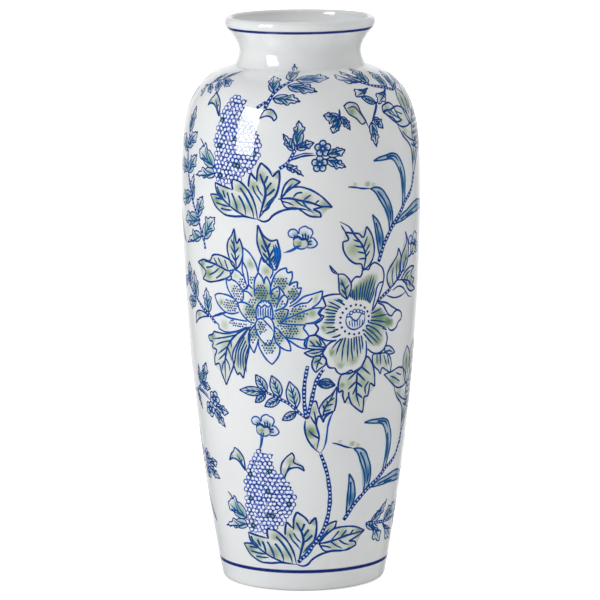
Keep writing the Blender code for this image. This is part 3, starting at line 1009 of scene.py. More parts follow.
# ---------------------------------------------------------------- dahlia
def dahlia(sheet):
    """Draw the pointed, many-petalled flower; (0, 0) is its middle."""
    rim = [
        (2.8, -33), (9, -24), (10, -18), (18.4, -21.5), (17, -15), (26, -18.8), (30.5, -20), (33, -9.5),
        (40, -3.5), (38, 1), (43.3, 5.5), (44.5, 13.5), (41, 17), (44.7, 27), (36, 24.5), (28, 22),
        (28, 30), (25, 34.8), (20, 35), (20.8, 43), (16.3, 46), (8, 43), (1.6, 53), (-3.8, 54.2),
        (-8.5, 47.5), (-15, 57.5), (-20, 60.8), (-21, 44), (-24, 41), (-33, 41), (-33, 35), (-37, 35),
        (-33.5, 23.3), (-38, 21.5), (-50, 19.4), (-43.5, 10), (-38, 6.5), (-54, 1), (-46.4, -7.5),
        (-33, -9), (-19, -5), (-17, -13), (-12.3, -24.5), (-8, -18),
    ]
    pools = [
        (-4, 24, 14, 0.85), (6, 21, 10, 0.75), (-14, 10, 10, 0.75), (13, 5, 11, 0.85), (20, -4, 12, 0.6),
        (25, 7, 11, 0.75), (12, 33, 9, 0.65), (21, 24, 8, 0.75), (0, 43, 6, 0.55), (-13, 48, 6, 0.6),
        (-42.5, 14.5, 3.8, 0.95), (36, 9, 6, 0.65), (-40, -4, 7, 0.35), (1, -16, 9, 0.55),
        (-12, -8, 8, 0.55), (9, -10, 8, 0.7), (-27, 38, 6, 0.25), (-31, 27, 6, 0.25), (-33, 12, 8, 0.25),
        (41, 20, 6, 0.65), (-6, -12, 5, 0.5),
    ]
    sheet.wash(rim, pools, 0.0, GREENS, 1.5)
    outer = [
        [
            (-8.3, -12.8), (-8, -18), (-5, -24.5), (-0.5, -30.5), (2.8, -33, TIP), (6, -29.5), (9, -24),
            (9.4, -19), (7, -14.5),
        ],
        [(-16.5, -8), (-17, -13), (-15.5, -19), (-12.3, -24.5, TIP), (-9.7, -18), (-8, -12.5)],
        [
            (5.5, -9), (6, -13.5), (10, -18.5), (14.5, -21), (18.4, -21.5, TIP), (17.5, -16), (14, -10.5),
            (9, -6),
        ],
        [
            (14, -10.5), (22, -11.5), (30, -12), (33, -9.5, TIP), (30.5, -5.5), (28.8, -3),
            (30.5, -0.3, TIP), (20, 0), (9, 1),
        ],
        [(14.5, -11), (20, -15), (26, -18.8), (30.5, -20, TIP), (31, -15), (33, -9.5)],
        [(30.8, 0.5), (38, 1, TIP), (40.3, -3.5), (38.5, -8, TIP), (33, -9.5)],
        [
            (30, 0.6), (38, 2), (43.3, 5.5, TIP), (41, 9), (44.5, 13.5, TIP), (37, 13), (29, 10.5),
            (20, 6.5), (12, 3),
        ],
        [(18, 14.5), (24, 18), (29.5, 22.5), (36, 24.5), (44.7, 27, TIP), (44, 22), (41, 17), (36, 13.5)],
        [(21, 14), (27, 17), (33, 18), (36.5, 21.5)],
        [
            (18.5, 17), (23, 20.5), (26.5, 25), (28, 30, TIP), (25.2, 29.5), (25, 34.8, TIP), (21.5, 34),
            (18, 31.5),
        ],
        [
            (18, 32), (20.8, 38), (20.8, 43, TIP), (17.2, 42), (16.3, 46, TIP), (11, 44), (7, 40),
            (4.5, 34), (3.2, 29),
        ],
        [
            (-7, 41.5), (-6, 47), (-3.8, 54.2, TIP), (-1.3, 50), (1.6, 53, TIP), (4.6, 48), (5.4, 42),
            (3, 37),
        ],
        [(-10, 22), (-10.7, 29), (-9.7, 36), (-6.8, 41.4, TIP), (-3.6, 37.5), (-2, 32.5)],
        [(-2.2, 32.5), (-1.5, 36), (0, 38.7, TIP), (2.5, 34), (3.2, 29), (2.5, 24)],
        [(-20.3, 49), (-20, 60.8, TIP), (-15, 57.5), (-11.4, 53), (-8.5, 47.5), (-7.2, 42)],
        [(-17.5, 31), (-20, 39), (-21, 44), (-20.4, 49.5, TIP), (-17.2, 44), (-15.8, 37), (-15.5, 31)],
        [(-17.5, 27), (-15.5, 31, TIP), (-12, 28)],
        [(-31.4, 34.4), (-31.8, 37.5), (-33, 41, TIP), (-28.7, 42.2), (-24, 41), (-20.5, 37.5)],
        [
            (-20.5, 26), (-23.7, 29.5), (-27.5, 32.8), (-31.4, 34.4, TIP), (-34.5, 33.2), (-37, 35, TIP),
            (-36.2, 29), (-33.5, 23.3), (-29.5, 19),
        ],
        [
            (-25, 15), (-29, 18.5), (-34.2, 20.6), (-41, 21.5), (-47, 21), (-50, 19.4, TIP), (-47.8, 14.6),
            (-43.5, 10), (-37.5, 6.7), (-31, 6.3), (-25, 8),
        ],
        [
            (-38, 6.5), (-45, 4), (-54, 1.3, TIP), (-50, -2.5), (-46.5, -4.5), (-46.4, -7.5, TIP),
            (-40, -9.3), (-33, -9), (-26, -7), (-18, -3.5),
        ],
        [(-41, 4.5), (-35, 2.7), (-28, 2), (-18, 1.2)],
    ]
    inner = [
        [(-24, 16), (-20.8, 19), (-20.6, 25.8, TIP), (-16, 25), (-12.3, 21.5)],
        [(-20.6, 25.8), (-18, 28), (-16.5, 31)],
        [
            (-12, 12.5), (-17, 15.5), (-22, 16.5), (-26, 15.6, TIP), (-24, 9.5), (-20, 4.5), (-15, 0.8),
            (-11, 0),
        ],
        [(6, 10.5), (11, 12.5), (17.3, 12, TIP), (15.5, 6), (11, 1)],
        [(7.5, 13), (9.8, 19), (14.5, 23.8), (17.3, 21, TIP), (15, 15), (11, 12.7)],
        [(3.4, 21), (4.2, 27), (9.7, 31, TIP), (10.6, 26), (8.8, 20)], [(9.7, 31), (13, 27), (14.5, 24)],
        [(-10.5, -1), (-13.5, -4), (-16.5, -9)], [(5.5, -2), (9, -4.5), (12, -8)],
    ]
    for stroke in outer + inner:
        sheet.ink(stroke, 1.15, "blue", thin=(0.85, 0.85))
    fields = [
        (0.5, -19, 6, 6, 0), (-12.8, -8, 3.6, 8, 0), (8.5, -10.5, 4, 6, 0), (15, -5, 9.5, 5.6, 0),
        (21.5, 6, 11.5, 4, 18), (24, 13, 8, 2.5, 20), (21, 23.5, 4.4, 8, -20), (11, 33.5, 6, 7.5, -15),
        (-1, 42, 5.5, 4.5, 0), (-4.5, 25, 6, 6.5, 0), (5, 19, 4.2, 6, 0), (-12, 39, 3, 9.5, 8),
        (-21, 32, 5.2, 4.4, -45), (-26, 23, 4.8, 8, 35), (-33, 13, 7, 5.6, 0), (-26, -1, 9, 2.8, 0),
        (-14.8, 7, 5, 7.5, 0), (-11.5, 18, 3.4, 6, -30), (10, 6.5, 5, 5.5, 0), (12, 16.5, 3.4, 5, 0),
    ]
    speckle(sheet, fields, outer + inner)
    dahlia_heart(sheet)


SPECKLE_REACH = 50.0
SPECKLE_CLEARANCE = 1.3


def speckle(sheet, fields, strokes, step=2.25):
    """Dot the given ovals (x, y, half width, half height, turn) in staggered rows, clear of the strokes."""
    lines = [point for stroke in strokes for run in smooth(stroke) for point in run]
    count = int(2 * SPECKLE_REACH / step)
    for row in range(count):
        for column in range(count):
            across = step * (column + 0.5 * (row % 2))
            spot = complex(across - SPECKLE_REACH, 0.9 * step * row - SPECKLE_REACH)
            spot += sheet.stray(0.3)
            for (x, y, wide, tall, turn) in fields:
                away = (spot - complex(x, y)) * complex(*polar(1.0, -turn))
                if math.hypot(away.real / wide, away.imag / tall) < 1.0:
                    if min(abs(spot - other) for other in lines) > SPECKLE_CLEARANCE:
                        sheet.dot((spot.real, spot.imag), sheet.random.uniform(0.84, 1.0), "teal")
                    break


def dahlia_heart(sheet):
    """Draw the striped dome in the middle and the curled petal in front of it."""
    dome = [
        (-9, 3), (-9.6, 9), (-8.3, 14.8), (-5, 18), (-1, 18.8), (2.6, 16.5), (4.2, 12), (4.6, 8), (4, 3.5),
    ]
    sheet.wash(dome, [(-4, 8, 5, 0.35), (2, 8, 4, 0.3)], 0.02, BLUES)
    sheet.ink(dome, 1.15, "blue", thin=(0.9, 0.9))
    sheet.ink(
        [(-8.8, 12), (-7, 14.8), (-4.6, 13.2), (-2, 15.4), (0.6, 13.6), (2.6, 15), (4.2, 12)], 1.1, "blue",
    )
    for step in range(6):
        x = -7.6 + 2.1 * step
        sheet.veins([[(x, 12.6 + 0.9 * (step % 2)), (x - 0.2, 8), (x + 0.1, 4.8)]], 0.9, "blue")
        sheet.dot((x + 0.6, 16.4 + 0.9 * math.sin(0.6 * step)), 0.6, "navy")
    curl = [
        (-4, 4), (-1.5, 6), (2, 5), (4.5, 1.5), (5.5, -4), (4.6, -10), (2.6, -15), (1, -17.5, TIP),
        (-2, -16.5), (-6, -13), (-9, -8), (-10.5, -3), (-9.5, 1.5), (-7, 4),
    ]
    sheet.wash(curl, [(-6, -2, 6, 0.45)], 0.01, GREENS, 1.0)
    sheet.ink(curl, 1.15, "blue", closed=True)
    fold = [(-4, 4), (-1.4, 1.2), (1.9, -2), (4.6, -6)]
    sheet.ink(fold, 1.1, "blue")
    speckle(sheet, [(-4.8, -2.5, 4, 6.5, -20)], [curl, fold], 2.1)


def dahlia_leaves(sheet):
    """Draw the leaves around the dahlia."""
    sheet.shape([
        (-28, 43, TIP), (-28.7, 47.2), (-33, 50), (-38.7, 52), (-45.3, 53), (-51.4, 51.7), (-54.2, 47.5),
        (-64, 47), (-72, 44, TIP), (-66, 41.5), (-60.5, 37.5), (-65, 31, TIP), (-55.3, 29.8), (-48.7, 31),
        (-42, 32.8), (-34, 36),
    ], pools=[(-65, 44, 6, 0.85), (-57, 36, 9, 0.75), (-42, 43, 12, 0.45)], base=0.15)
    sheet.ink([(-62, 46), (-48.7, 45), (-41, 42.8), (-34.2, 41), (-28, 42)], 1.3)
    sheet.veins([
        [(-50, 50), (-46, 44.8)],
        [(-45, 50.5), (-40, 43)],
        [(-38, 49.5), (-34.5, 41.4)],
        [(-60, 41), (-53, 42.5), (-48, 45)],
        [(-56, 35.5), (-49, 38.5), (-43, 43)],
        [(-48, 33.5), (-43, 36.5), (-38, 41.6)],
    ])
    sheet.shape([
        (-26.4, 42.8, TIP), (-30.3, 46), (-33.7, 53.3), (-35, 59), (-33.7, 65.6), (-30.3, 70),
        (-28, 75.5, TIP), (-25, 64), (-22.9, 68, TIP), (-20.3, 60), (-20.9, 52), (-23.7, 46),
    ], pools=[(-28, 62, 10, 0.55), (-23, 60, 7, 0.45)], base=0.12)
    sheet.ink([(-26.4, 43), (-27, 52), (-28, 61), (-28.3, 71)], 1.2)
    sheet.veins([
        [(-27, 49), (-31.5, 56)],
        [(-27.5, 55), (-32, 62)],
        [(-28, 61), (-31, 67)],
        [(-26.8, 50), (-23, 55)],
        [(-27.3, 56), (-23.5, 61)],
    ])
    sheet.shape([
        (1.5, 48, TIP), (-3, 54), (-5.3, 59), (-7, 64.4), (-6.6, 79.5, TIP), (0.2, 69.4), (4.7, 67.2),
        (9.1, 68.5, TIP), (11.3, 60), (10.8, 52), (7, 44),
    ], pools=[(-2, 64, 12, 0.6), (4, 52, 10, 0.5)], base=0.15)
    sheet.ink([(3, 47), (2.5, 56), (-1, 66), (-5.5, 76)], 1.7)
    sheet.veins([
        [(2.6, 54), (7, 62)], [(1, 61), (4, 66)], [(0, 58), (-4, 64)], [(3, 50), (8, 57)],
        [(2, 52), (-3, 58)],
    ], 1.5)
    for step in range(3):
        sheet.ink([
            (7.4 - step, 46 + 2 * step), (11 - 1.8 * step, 53), (11 - 1.9 * step, 60),
            (9.2 - 1.6 * step, 66 - step),
        ], 1.7, "blue")
    sheet.shape([
        (-16, -3.5, TIP), (-28.5, -8.4), (-39.8, -10.9), (-52.7, -10.6, TIP), (-54, -12.8), (-60, -15.5),
        (-58.9, -18.3), (-54.4, -19.6), (-55.6, -24.2, TIP), (-50.3, -25.6), (-53, -31.8),
        (-53, -38.3, TIP), (-47.9, -36.5), (-45.5, -43.3), (-40.6, -53.4, TIP), (-36.6, -45.8),
        (-31.8, -35.9), (-28, -22),
    ], 1.2, pools=[(-55, -15, 7, 0.85), (-38, -22, 14, 0.45), (-44, -38, 8, 0.4)], base=0.15)
    sheet.shape([
        (-16, -3.5, TIP), (-27.5, -17.5), (-32.5, -27), (-31.8, -36), (-28.5, -43.8, TIP), (-26.5, -42),
        (-22.9, -46.1, TIP), (-19.7, -33.3), (-16.9, -21.2), (-15.6, -10.6),
    ], 1.2, pools=[(-25, -32, 12, 0.6), (-20, -16, 9, 0.45)], base=0.2)
    sheet.ink([(-17, -4), (-28.5, -10.8), (-36.6, -19.9), (-40.6, -32.2), (-41, -50)], 1.4)
    sheet.veins([
        [(-29, -11), (-40, -14), (-55, -17)],
        [(-34, -16), (-45, -19), (-52, -22)],
        [(-37, -21), (-44, -25.5), (-49, -29)],
        [(-39, -26), (-45, -31), (-49, -34)],
        [(-40.3, -32), (-44, -38), (-44.5, -42)],
        [(-34, -16), (-33.5, -22)],
        [(-37.5, -22), (-34.5, -29), (-34, -33)],
        [(-40, -31), (-36.5, -37), (-36, -42)],
    ])
    for step in range(4):
        sheet.veins([
            [
                (-20.5 + step, -12 - 3 * step), (-26.5 + 2.2 * step, -24 - step),
                (-27.5 + 2.6 * step, -38 - step),
            ],
        ], 1.15)


# ---------------------------------------------------------------- peony
def peony(sheet):
    """Draw the open, striped flower; (0, 2) is the middle of its pod."""
    outlines = [
        [
            (-4.5, 32), (-3, 34.6), (0, 36.8), (3.5, 36.2, TIP), (5, 38.5), (5.5, 41.3), (8, 42.2),
            (11.5, 41.5, TIP), (13, 44.5), (17, 46.8), (20.5, 45.5, TIP), (25.5, 41.5), (27.2, 37),
            (27, 31), (25, 25), (22, 18), (21.3, 14),
        ],
        [(26.4, 30.3), (22.5, 29.6), (20, 26.5), (18.6, 20), (16.5, 12), (15.5, 7.5)],
        [(22.5, 19), (19.5, 13), (16, 8)],
        [
            (-14, 23.8), (-22, 23.6), (-28.3, 22, TIP), (-26.5, 18), (-25.3, 14.6, TIP), (-28.5, 11.8),
            (-30.3, 8.5), (-26.5, 6.3, TIP), (-29.3, 3), (-34, 0.4, TIP), (-31, -3.5), (-33.5, -8, TIP),
            (-29, -11), (-24, -13.4), (-17.5, -13.8),
        ],
        [
            (21.5, 13.5), (27, 11), (31, 5.8), (34.5, 2), (38, 1.2), (40, 3.2, TIP), (44, 4.9), (48, 4),
            (51.8, 0.5), (51, -3.6, TIP), (47, -5.4), (44.5, -9), (41, -10.8), (36.5, -10.6), (33.5, -8),
        ],
        [(22, 14.6), (31, 12.5), (38, 8.5), (45, 5)],
        [(31, -11), (33, -16), (32, -21.5), (28.5, -26), (23, -27.8), (17, -26.6), (12, -23)],
        [
            (-16, -13.6), (-20.5, -15), (-25, -19.5), (-27, -24), (-24, -28.5, TIP), (-23.6, -32),
            (-21.5, -35.6), (-16.5, -36.4, TIP), (-14.3, -40.2), (-10.3, -42), (-5.5, -40.5),
            (-3, -39, TIP), (1, -41), (5.5, -38.6), (9, -34), (10.8, -28), (11, -22), (10.2, -16),
        ],
    ]
    for outline in outlines:
        sheet.ink(outline, 1.2, "navy", thin=(0.85, 0.7))
    sheet.wash([
        (-7, 21), (-3, 18.5), (2, 17.6), (8, 16.4), (13, 13.5), (16.5, 20), (18.5, 27), (22, 33), (21, 38),
        (15, 39.5), (8, 37.5), (2, 34), (-2.5, 30), (-6, 25),
    ], [(5, 21, 22, 0.95), (12, 30, 14, 0.75), (-3, 24, 10, 0.8)], 0.25, GREENS, 2.0)
    sheet.wash(
        [
            (-10, 20.5), (-18, 21.5), (-26, 20), (-24, 15), (-28, 10), (-25, 6), (-28.5, 2), (-30, -3.5),
            (-27, -8), (-22, -11), (-13, -11), (-16, -6), (-17.3, 0), (-16.5, 6), (-14, 12),
        ],
        [(-27.5, -3.7, 4.5, 1.0), (-27, 8, 9, 0.62), (-25, 16, 8, 0.55), (-20, 3, 20, 0.45)], 0.2, GREENS,
        2.0,
    )
    sheet.wash([
        (13, 8), (19, 10.5), (25, 10.5), (30, 5.5), (35, 1), (39.5, -1), (41.5, -5), (39, -8.5), (33, -8.5),
        (29.5, -12), (30, -18), (26, -22), (19, -22.5), (12, -20), (9.5, -13), (8, -9), (12, -4), (14, 2),
    ], [(34, -3, 11, 1.0), (23, 2, 17, 0.85), (17, -8, 14, 0.7), (22, -17, 10, 0.7)], 0.25, GREENS, 2.2)
    sheet.wash(
        [
            (-10, -11), (-16, -16), (-22, -20), (-22, -26), (-19, -31), (-15, -37), (-11, -38.5), (-7, -36),
            (-3, -37), (2, -35.5), (7, -29), (8.5, -20), (7.5, -11.5), (2, -13), (-4, -13),
        ],
        [(-20, -23.5, 4.8, 1.0), (-12, -35, 6, 0.62), (-1, -31, 8, 0.55), (-6, -20, 17, 0.4)], 0.2, GREENS,
        2.2,
    )
    stripes = [
        [(-4.7, 20.4), (-5.3, 25)], [(-3, 19.4), (-3.7, 27.3)], [(-1.4, 17.8), (-1.9, 27)],
        [(0.7, 17.3), (0.3, 29.4)], [(2.8, 17.8), (3.6, 25), (4.6, 32)], [(5, 17.5), (5.8, 25), (7.4, 33)],
        [(7, 17.3), (8.2, 25), (10.3, 34)], [(8.8, 16.7), (11, 26), (14.7, 37.3)],
        [(10.4, 16.2), (13, 25), (17, 36.2)], [(11.6, 15.2), (15, 23), (18.4, 32.5)],
        [(12.8, 14.1), (15.5, 19), (17.9, 26.7)], [(-9.7, 14.5), (-14, 17.5), (-19, 19.6)],
        [(-11.5, 17.5), (-16, 20)], [(-13.2, 12.5), (-18, 15.5), (-23.7, 18.3)],
        [(-14.7, 11.5), (-20, 13.6), (-25.3, 15)], [(-15.8, 9.7), (-21.5, 11.2), (-27.4, 12.5)],
        [(-17.2, 8), (-26.3, 9.4)], [(-17.4, 5.7), (-26.3, 5.9)], [(-17.6, 3), (-26.3, 3.5)],
        [(-17.8, 0.6), (-27.4, 1.2)], [(-17.4, -3.3), (-25.3, -2.6)], [(-17.2, -6), (-25.3, -7.8)],
        [(-12.6, -9.3), (-16, -10.6), (-20.5, -11.2)], [(-14.6, -4.8), (-19, -5.4)],
        [(14.7, 5.6), (20, 7), (25.3, 8.8)], [(14.8, 2.6), (32.4, 3)],
        [(14.2, 0.2), (22, -1.2), (32, -3.6)], [(12.4, -1.4), (20, -3.6), (31, -8)],
        [(11, -3.4), (19, -7.4), (27.4, -14.8)], [(10, -5.6), (17, -10.5), (24.5, -17.5)],
        [(8.8, -7.6), (15, -13), (22.5, -19.5)], [(7.6, -9.8), (13, -15.6), (18.4, -21)],
        [(26.6, -7.4), (32.6, -10)], [(-12, -12.7), (-16, -16), (-20, -21)],
        [(-10.4, -12.2), (-13.6, -18), (-16.3, -26.4)], [(-8.4, -12), (-10.2, -20), (-11, -31.7)],
        [(-5.6, -12.7), (-6, -22), (-6, -32)], [(-3.2, -12.9), (-2.8, -22), (-1.2, -32)],
        [(-0.8, -12.2), (-0.4, -24)], [(1, -11.8), (2, -20), (3, -29.6)],
        [(3.4, -11.8), (4.6, -19), (5.8, -26.4)], [(5.6, -11.4), (6.8, -17), (7.6, -23.5)],
    ]
    for stripe in stripes:
        sheet.veins([stripe], 1.15, "teal")
    for step in range(18):
        angle = math.radians(20.0 * step + 8.0)
        sheet.dot((-0.4 + 12.9 * math.cos(angle), 2.1 + 12.0 * math.sin(angle)), 1.2)
    peony_pod(sheet)


def peony_pod(sheet):
    """Draw the ribbed pod in the middle of the peony, with a chain of seeds around its mouth."""
    sheet.ink([
        (-8, 5.5), (-8.2, 0), (-6, -3.8), (-1.5, -5.9), (3.5, -4.8), (7.6, -1.4), (8.6, 3.5), (8.3, 6.5),
    ], 1.05, "blue")
    mouth = [(-7.6, 4.2), (-5, 5), (-2.8, 2.8), (0.2, 1), (3, 2.8), (5, 5.6), (8, 6.6)]
    sheet.ink(mouth, 1.1, "blue")
    for (x, y, reach) in (
        (-6.4, 5.9, 1.3), (-4, 7.9, 1.4), (-1, 9.2, 1.4), (2.2, 9, 1.4), (5, 8.2, 1.3), (7.2, 7, 1.2),
    ):
        sheet.ink([plus((x, y), polar(reach, 60 * turn)) for turn in range(6)], 0.75, "blue", closed=True)
    for step in range(6):
        x = -5.6 + 2.4 * step
        sheet.veins([
            [
                (x, 2.6 - 0.5 * abs(step - 2.5)), (0.95 * x + 0.2, -1.2),
                (0.85 * x + 0.3, -4.6 + 0.04 * x * x),
            ],
        ], 0.75, "blue")


def peony_leaves(sheet):
    """Draw the leaves around the peony."""
    sheet.shape([
        (-15.8, 40, TIP), (-15.1, 33.3), (-13.9, 24.5), (-8, 19, TIP), (-5.2, 25), (-4.5, 31.5), (-7, 36),
        (-11, 39.5),
    ], 1.1, pools=[(-12, 32, 8, 0.7), (-10, 25, 7, 0.75)], base=0.12)
    sheet.ink([(-23, 47.5), (-19, 43), (-15.8, 40.1)], 1.1)
    sheet.ink([(-23, 47), (-20, 41.8), (-15.8, 39.6)], 0.9)
    sheet.veins([
        [(-8, 19), (-10.1, 28.3), (-14, 37)], [(-10, 27), (-6, 31)], [(-9.3, 23.5), (-13, 28)],
        [(-10.8, 30), (-14, 33)],
    ], 1.15)
    sheet.shape([
        (34.5, 24, TIP), (31.5, 29.5), (31, 35), (33.5, 40), (38.5, 45), (43, 49.5), (45, 55.5, TIP),
        (48.5, 49), (48.3, 41), (46, 34), (41, 27.5),
    ], pools=[(34, 27, 4, 0.8), (37, 40, 9, 0.5), (45, 42, 10, 0.65)], base=0.14)
    sheet.shape([
        (48.6, 35, TIP), (48.5, 42), (50.5, 50), (54.5, 54.5), (57, 59), (55.2, 67.5, TIP), (59.4, 60),
        (60.7, 52), (60, 45), (57, 39.5), (53, 36),
    ], pools=[(54, 47, 11, 0.6)], base=0.14)
    sheet.shape([
        (50, 30, TIP), (55, 34.5), (62, 37), (68, 37.8), (74, 36.5, TIP), (68, 33), (67, 31.5),
        (75.5, 26, TIP), (71, 22.5), (79, 17.5, TIP), (67, 17.5), (61, 20.5), (57, 25), (53, 27.5),
    ], pools=[(58, 32, 9, 0.6), (66, 25, 9, 0.65)], base=0.14)
    sheet.ink([(35, 24), (41, 28), (49, 33.5), (55, 43), (57.5, 53)], 1.3)
    sheet.ink([(44, 29.5), (53, 28.5), (62, 26.5), (72, 20)], 1.2)
    sheet.veins([
        [(38.5, 26.5), (37, 33), (38.5, 41)],
        [(43.5, 30), (42.5, 37), (43.5, 46)],
        [(47, 33), (46.8, 40), (47.5, 47)],
        [(52, 38), (51.8, 45)],
        [(55, 43), (59, 47)],
        [(54, 29), (60, 33), (67, 34.5)],
        [(58, 27.5), (63, 31)],
        [(57, 27.5), (61, 22.5)],
        [(62, 26.5), (67, 21)],
    ], 1.1)
    sheet.ink([(38, 22), (46, 24.2), (53, 22), (58, 18), (63, 14), (70, 12.3)], 1.1)
    sheet.ink([(31, 18.5), (40.5, 15.6), (49, 15.8), (58, 18.2)], 1.1)
    sheet.stem([(21, 15), (28, 19.5), (36, 24)], 3.0)
    sheet.shape([
        (3.5, -39, TIP), (-4, -41.8), (-10.5, -42), (-12.8, -47), (-13.3, -52), (-12.5, -57, TIP),
        (-9.5, -55.5), (-9, -60), (-7, -66, TIP), (-4, -61), (-1.5, -66.5), (3, -71), (9.5, -75.5, TIP),
        (10.2, -69), (11, -62.3), (14, -62, TIP), (15, -56.5), (15.8, -52), (20.8, -55, TIP), (20.2, -46),
        (17.8, -37), (11.5, -29.5), (9, -33), (6.5, -37.5),
    ], pools=[
        (-10, -51, 4.5, 0.9), (7, -38, 9, 0.6), (9, -50, 10, 0.5), (3, -62, 7, 0.5), (-4, -50, 8, 0.4),
    ], base=0.2)
    sheet.ink([(3, -40), (2.8, -49), (3.2, -60), (6.5, -70)], 1.5)
    sheet.veins([
        [(2.6, -40.5), (-5.5, -47.5)],
        [(2.2, -49), (-4.8, -55)],
        [(2.6, -53), (-0.5, -60)],
        [(-4, -57), (-3.8, -62)],
        [(3.4, -42), (11, -49.5)],
        [(6.5, -37), (16, -44.8)],
        [(3.4, -50), (8.6, -54.3)],
        [(3.4, -58.6), (9, -63.4)],
        [(14.2, -50), (11, -55), (12, -61)],
    ], 1.35, "teal")
    sheet.shape([
        (17.8, -28.5), (17.5, -34), (20.5, -39.3), (24, -42), (26.3, -45.6, TIP), (28.2, -40.6), (33, -43),
        (38.5, -46.3, TIP), (39.5, -39), (37.5, -33), (33, -29), (25, -28.5),
    ], 1.1, pools=[(24, -34, 9, 0.5), (33, -37, 7, 0.45)], base=0.1)
    sheet.veins([
        [(22, -29), (22.4, -37)], [(25.5, -29), (26.6, -38)], [(29.5, -30), (33.5, -39)],
        [(34, -31), (37, -40)],
    ], 1.1)
    sheet.shape([
        (30.5, -27.5, TIP), (31, -23.5), (36, -23.5), (40, -26), (43.8, -29.9, TIP), (38.5, -30.5),
        (33.5, -29.5),
    ], 1.1, pools=[(36, -27, 6, 0.4)], base=0.08)
    sheet.veins([[(31.5, -27.5), (37, -27.6), (41, -29.4)]])
    sheet.shape([
        (-24, -19, TIP), (-28, -13), (-33, -8.8, TIP), (-38, -9.6), (-41.3, -13), (-41.5, -17.5),
        (-39, -19.6, TIP), (-33, -20.3), (-27, -20.5),
    ], 1.15, pools=[(-34, -15, 8, 0.5)], base=0.12)
    sheet.veins([
        [(-25, -19), (-32, -18), (-38.5, -17.3)], [(-28.5, -18.5), (-33, -13)], [(-33, -18), (-38, -12.6)],
        [(-28, -17), (-30.3, -12)],
    ], 1.15)
    sheet.shape([
        (-25, -20.5, TIP), (-29, -25), (-35, -26.6), (-42, -23.2, TIP), (-37, -21.5), (-31, -20.3),
    ], 1.15, pools=[(-33, -23, 6, 0.5)])
    sheet.veins([[(-26, -21.5), (-33, -23.5), (-39, -23.3)]], 1.1)
    sheet.shape([
        (-27, -26.5, TIP), (-33, -26), (-35.3, -31), (-34.8, -35.5), (-32, -39.6, TIP), (-29, -36.5),
        (-24.5, -33), (-24, -29),
    ], 1.15, pools=[(-32, -30, 6, 0.85)], base=0.12)
    sheet.veins([
        [(-28, -27), (-30.5, -32), (-32, -38)], [(-29.3, -29), (-33.6, -31.5)],
        [(-30.3, -31), (-26.5, -33)],
    ], 1.1)
    sheet.shape([
        (-29, -46.5, TIP), (-26, -45.2), (-21.5, -45.3), (-18.5, -48), (-15.8, -50.8, TIP), (-19.5, -52),
        (-24, -52.6), (-27.5, -50.5),
    ], 1.15, pools=[(-24, -49, 5, 0.9)], base=0.2)
    sheet.veins([
        [(-29, -47), (-23, -49), (-17, -50.6)], [(-25, -48.2), (-22.5, -46.4)], [(-24, -49), (-22, -51.4)],
    ], 1.1)


# ---------------------------------------------------------------- vines, twigs and blades
def top_leaf(sheet):
    """Draw the broad leaf above the peony; (0, 0) is on the vine beside it."""
    sheet.shape([
        (-49.4, -45, TIP), (-50.6, -40.6), (-56.3, -39.4), (-62.5, -35), (-67, -27.5), (-67.6, -21.3, TIP),
        (-63, -20), (-65.6, -13.6, TIP), (-58.8, -15), (-53.8, -15.6), (-50, -18.8), (-46.6, -10.4, TIP),
        (-43, -15), (-39.4, -23.8), (-38.8, -31.3), (-40.6, -38), (-46.3, -44),
    ], pools=[(-58, -28, 11, 0.5), (-45, -24, 10, 0.45)], base=0.16)
    sheet.ink([(-48.5, -44.5), (-47, -33.8), (-50.5, -25), (-57.5, -16.5), (-62, -10), (-70.5, -5)], 1.35)
    sheet.ink([(-65.6, -13.6), (-69.5, -7.5)], 1.0)
    sheet.veins([
        [(-47.2, -36), (-54, -36)],
        [(-47, -32), (-55, -30)],
        [(-49, -27), (-58, -25)],
        [(-52, -22.5), (-59, -20)],
        [(-47, -35), (-43, -30)],
        [(-47.2, -31), (-43, -24)],
        [(-49, -27), (-45.5, -18)],
    ])


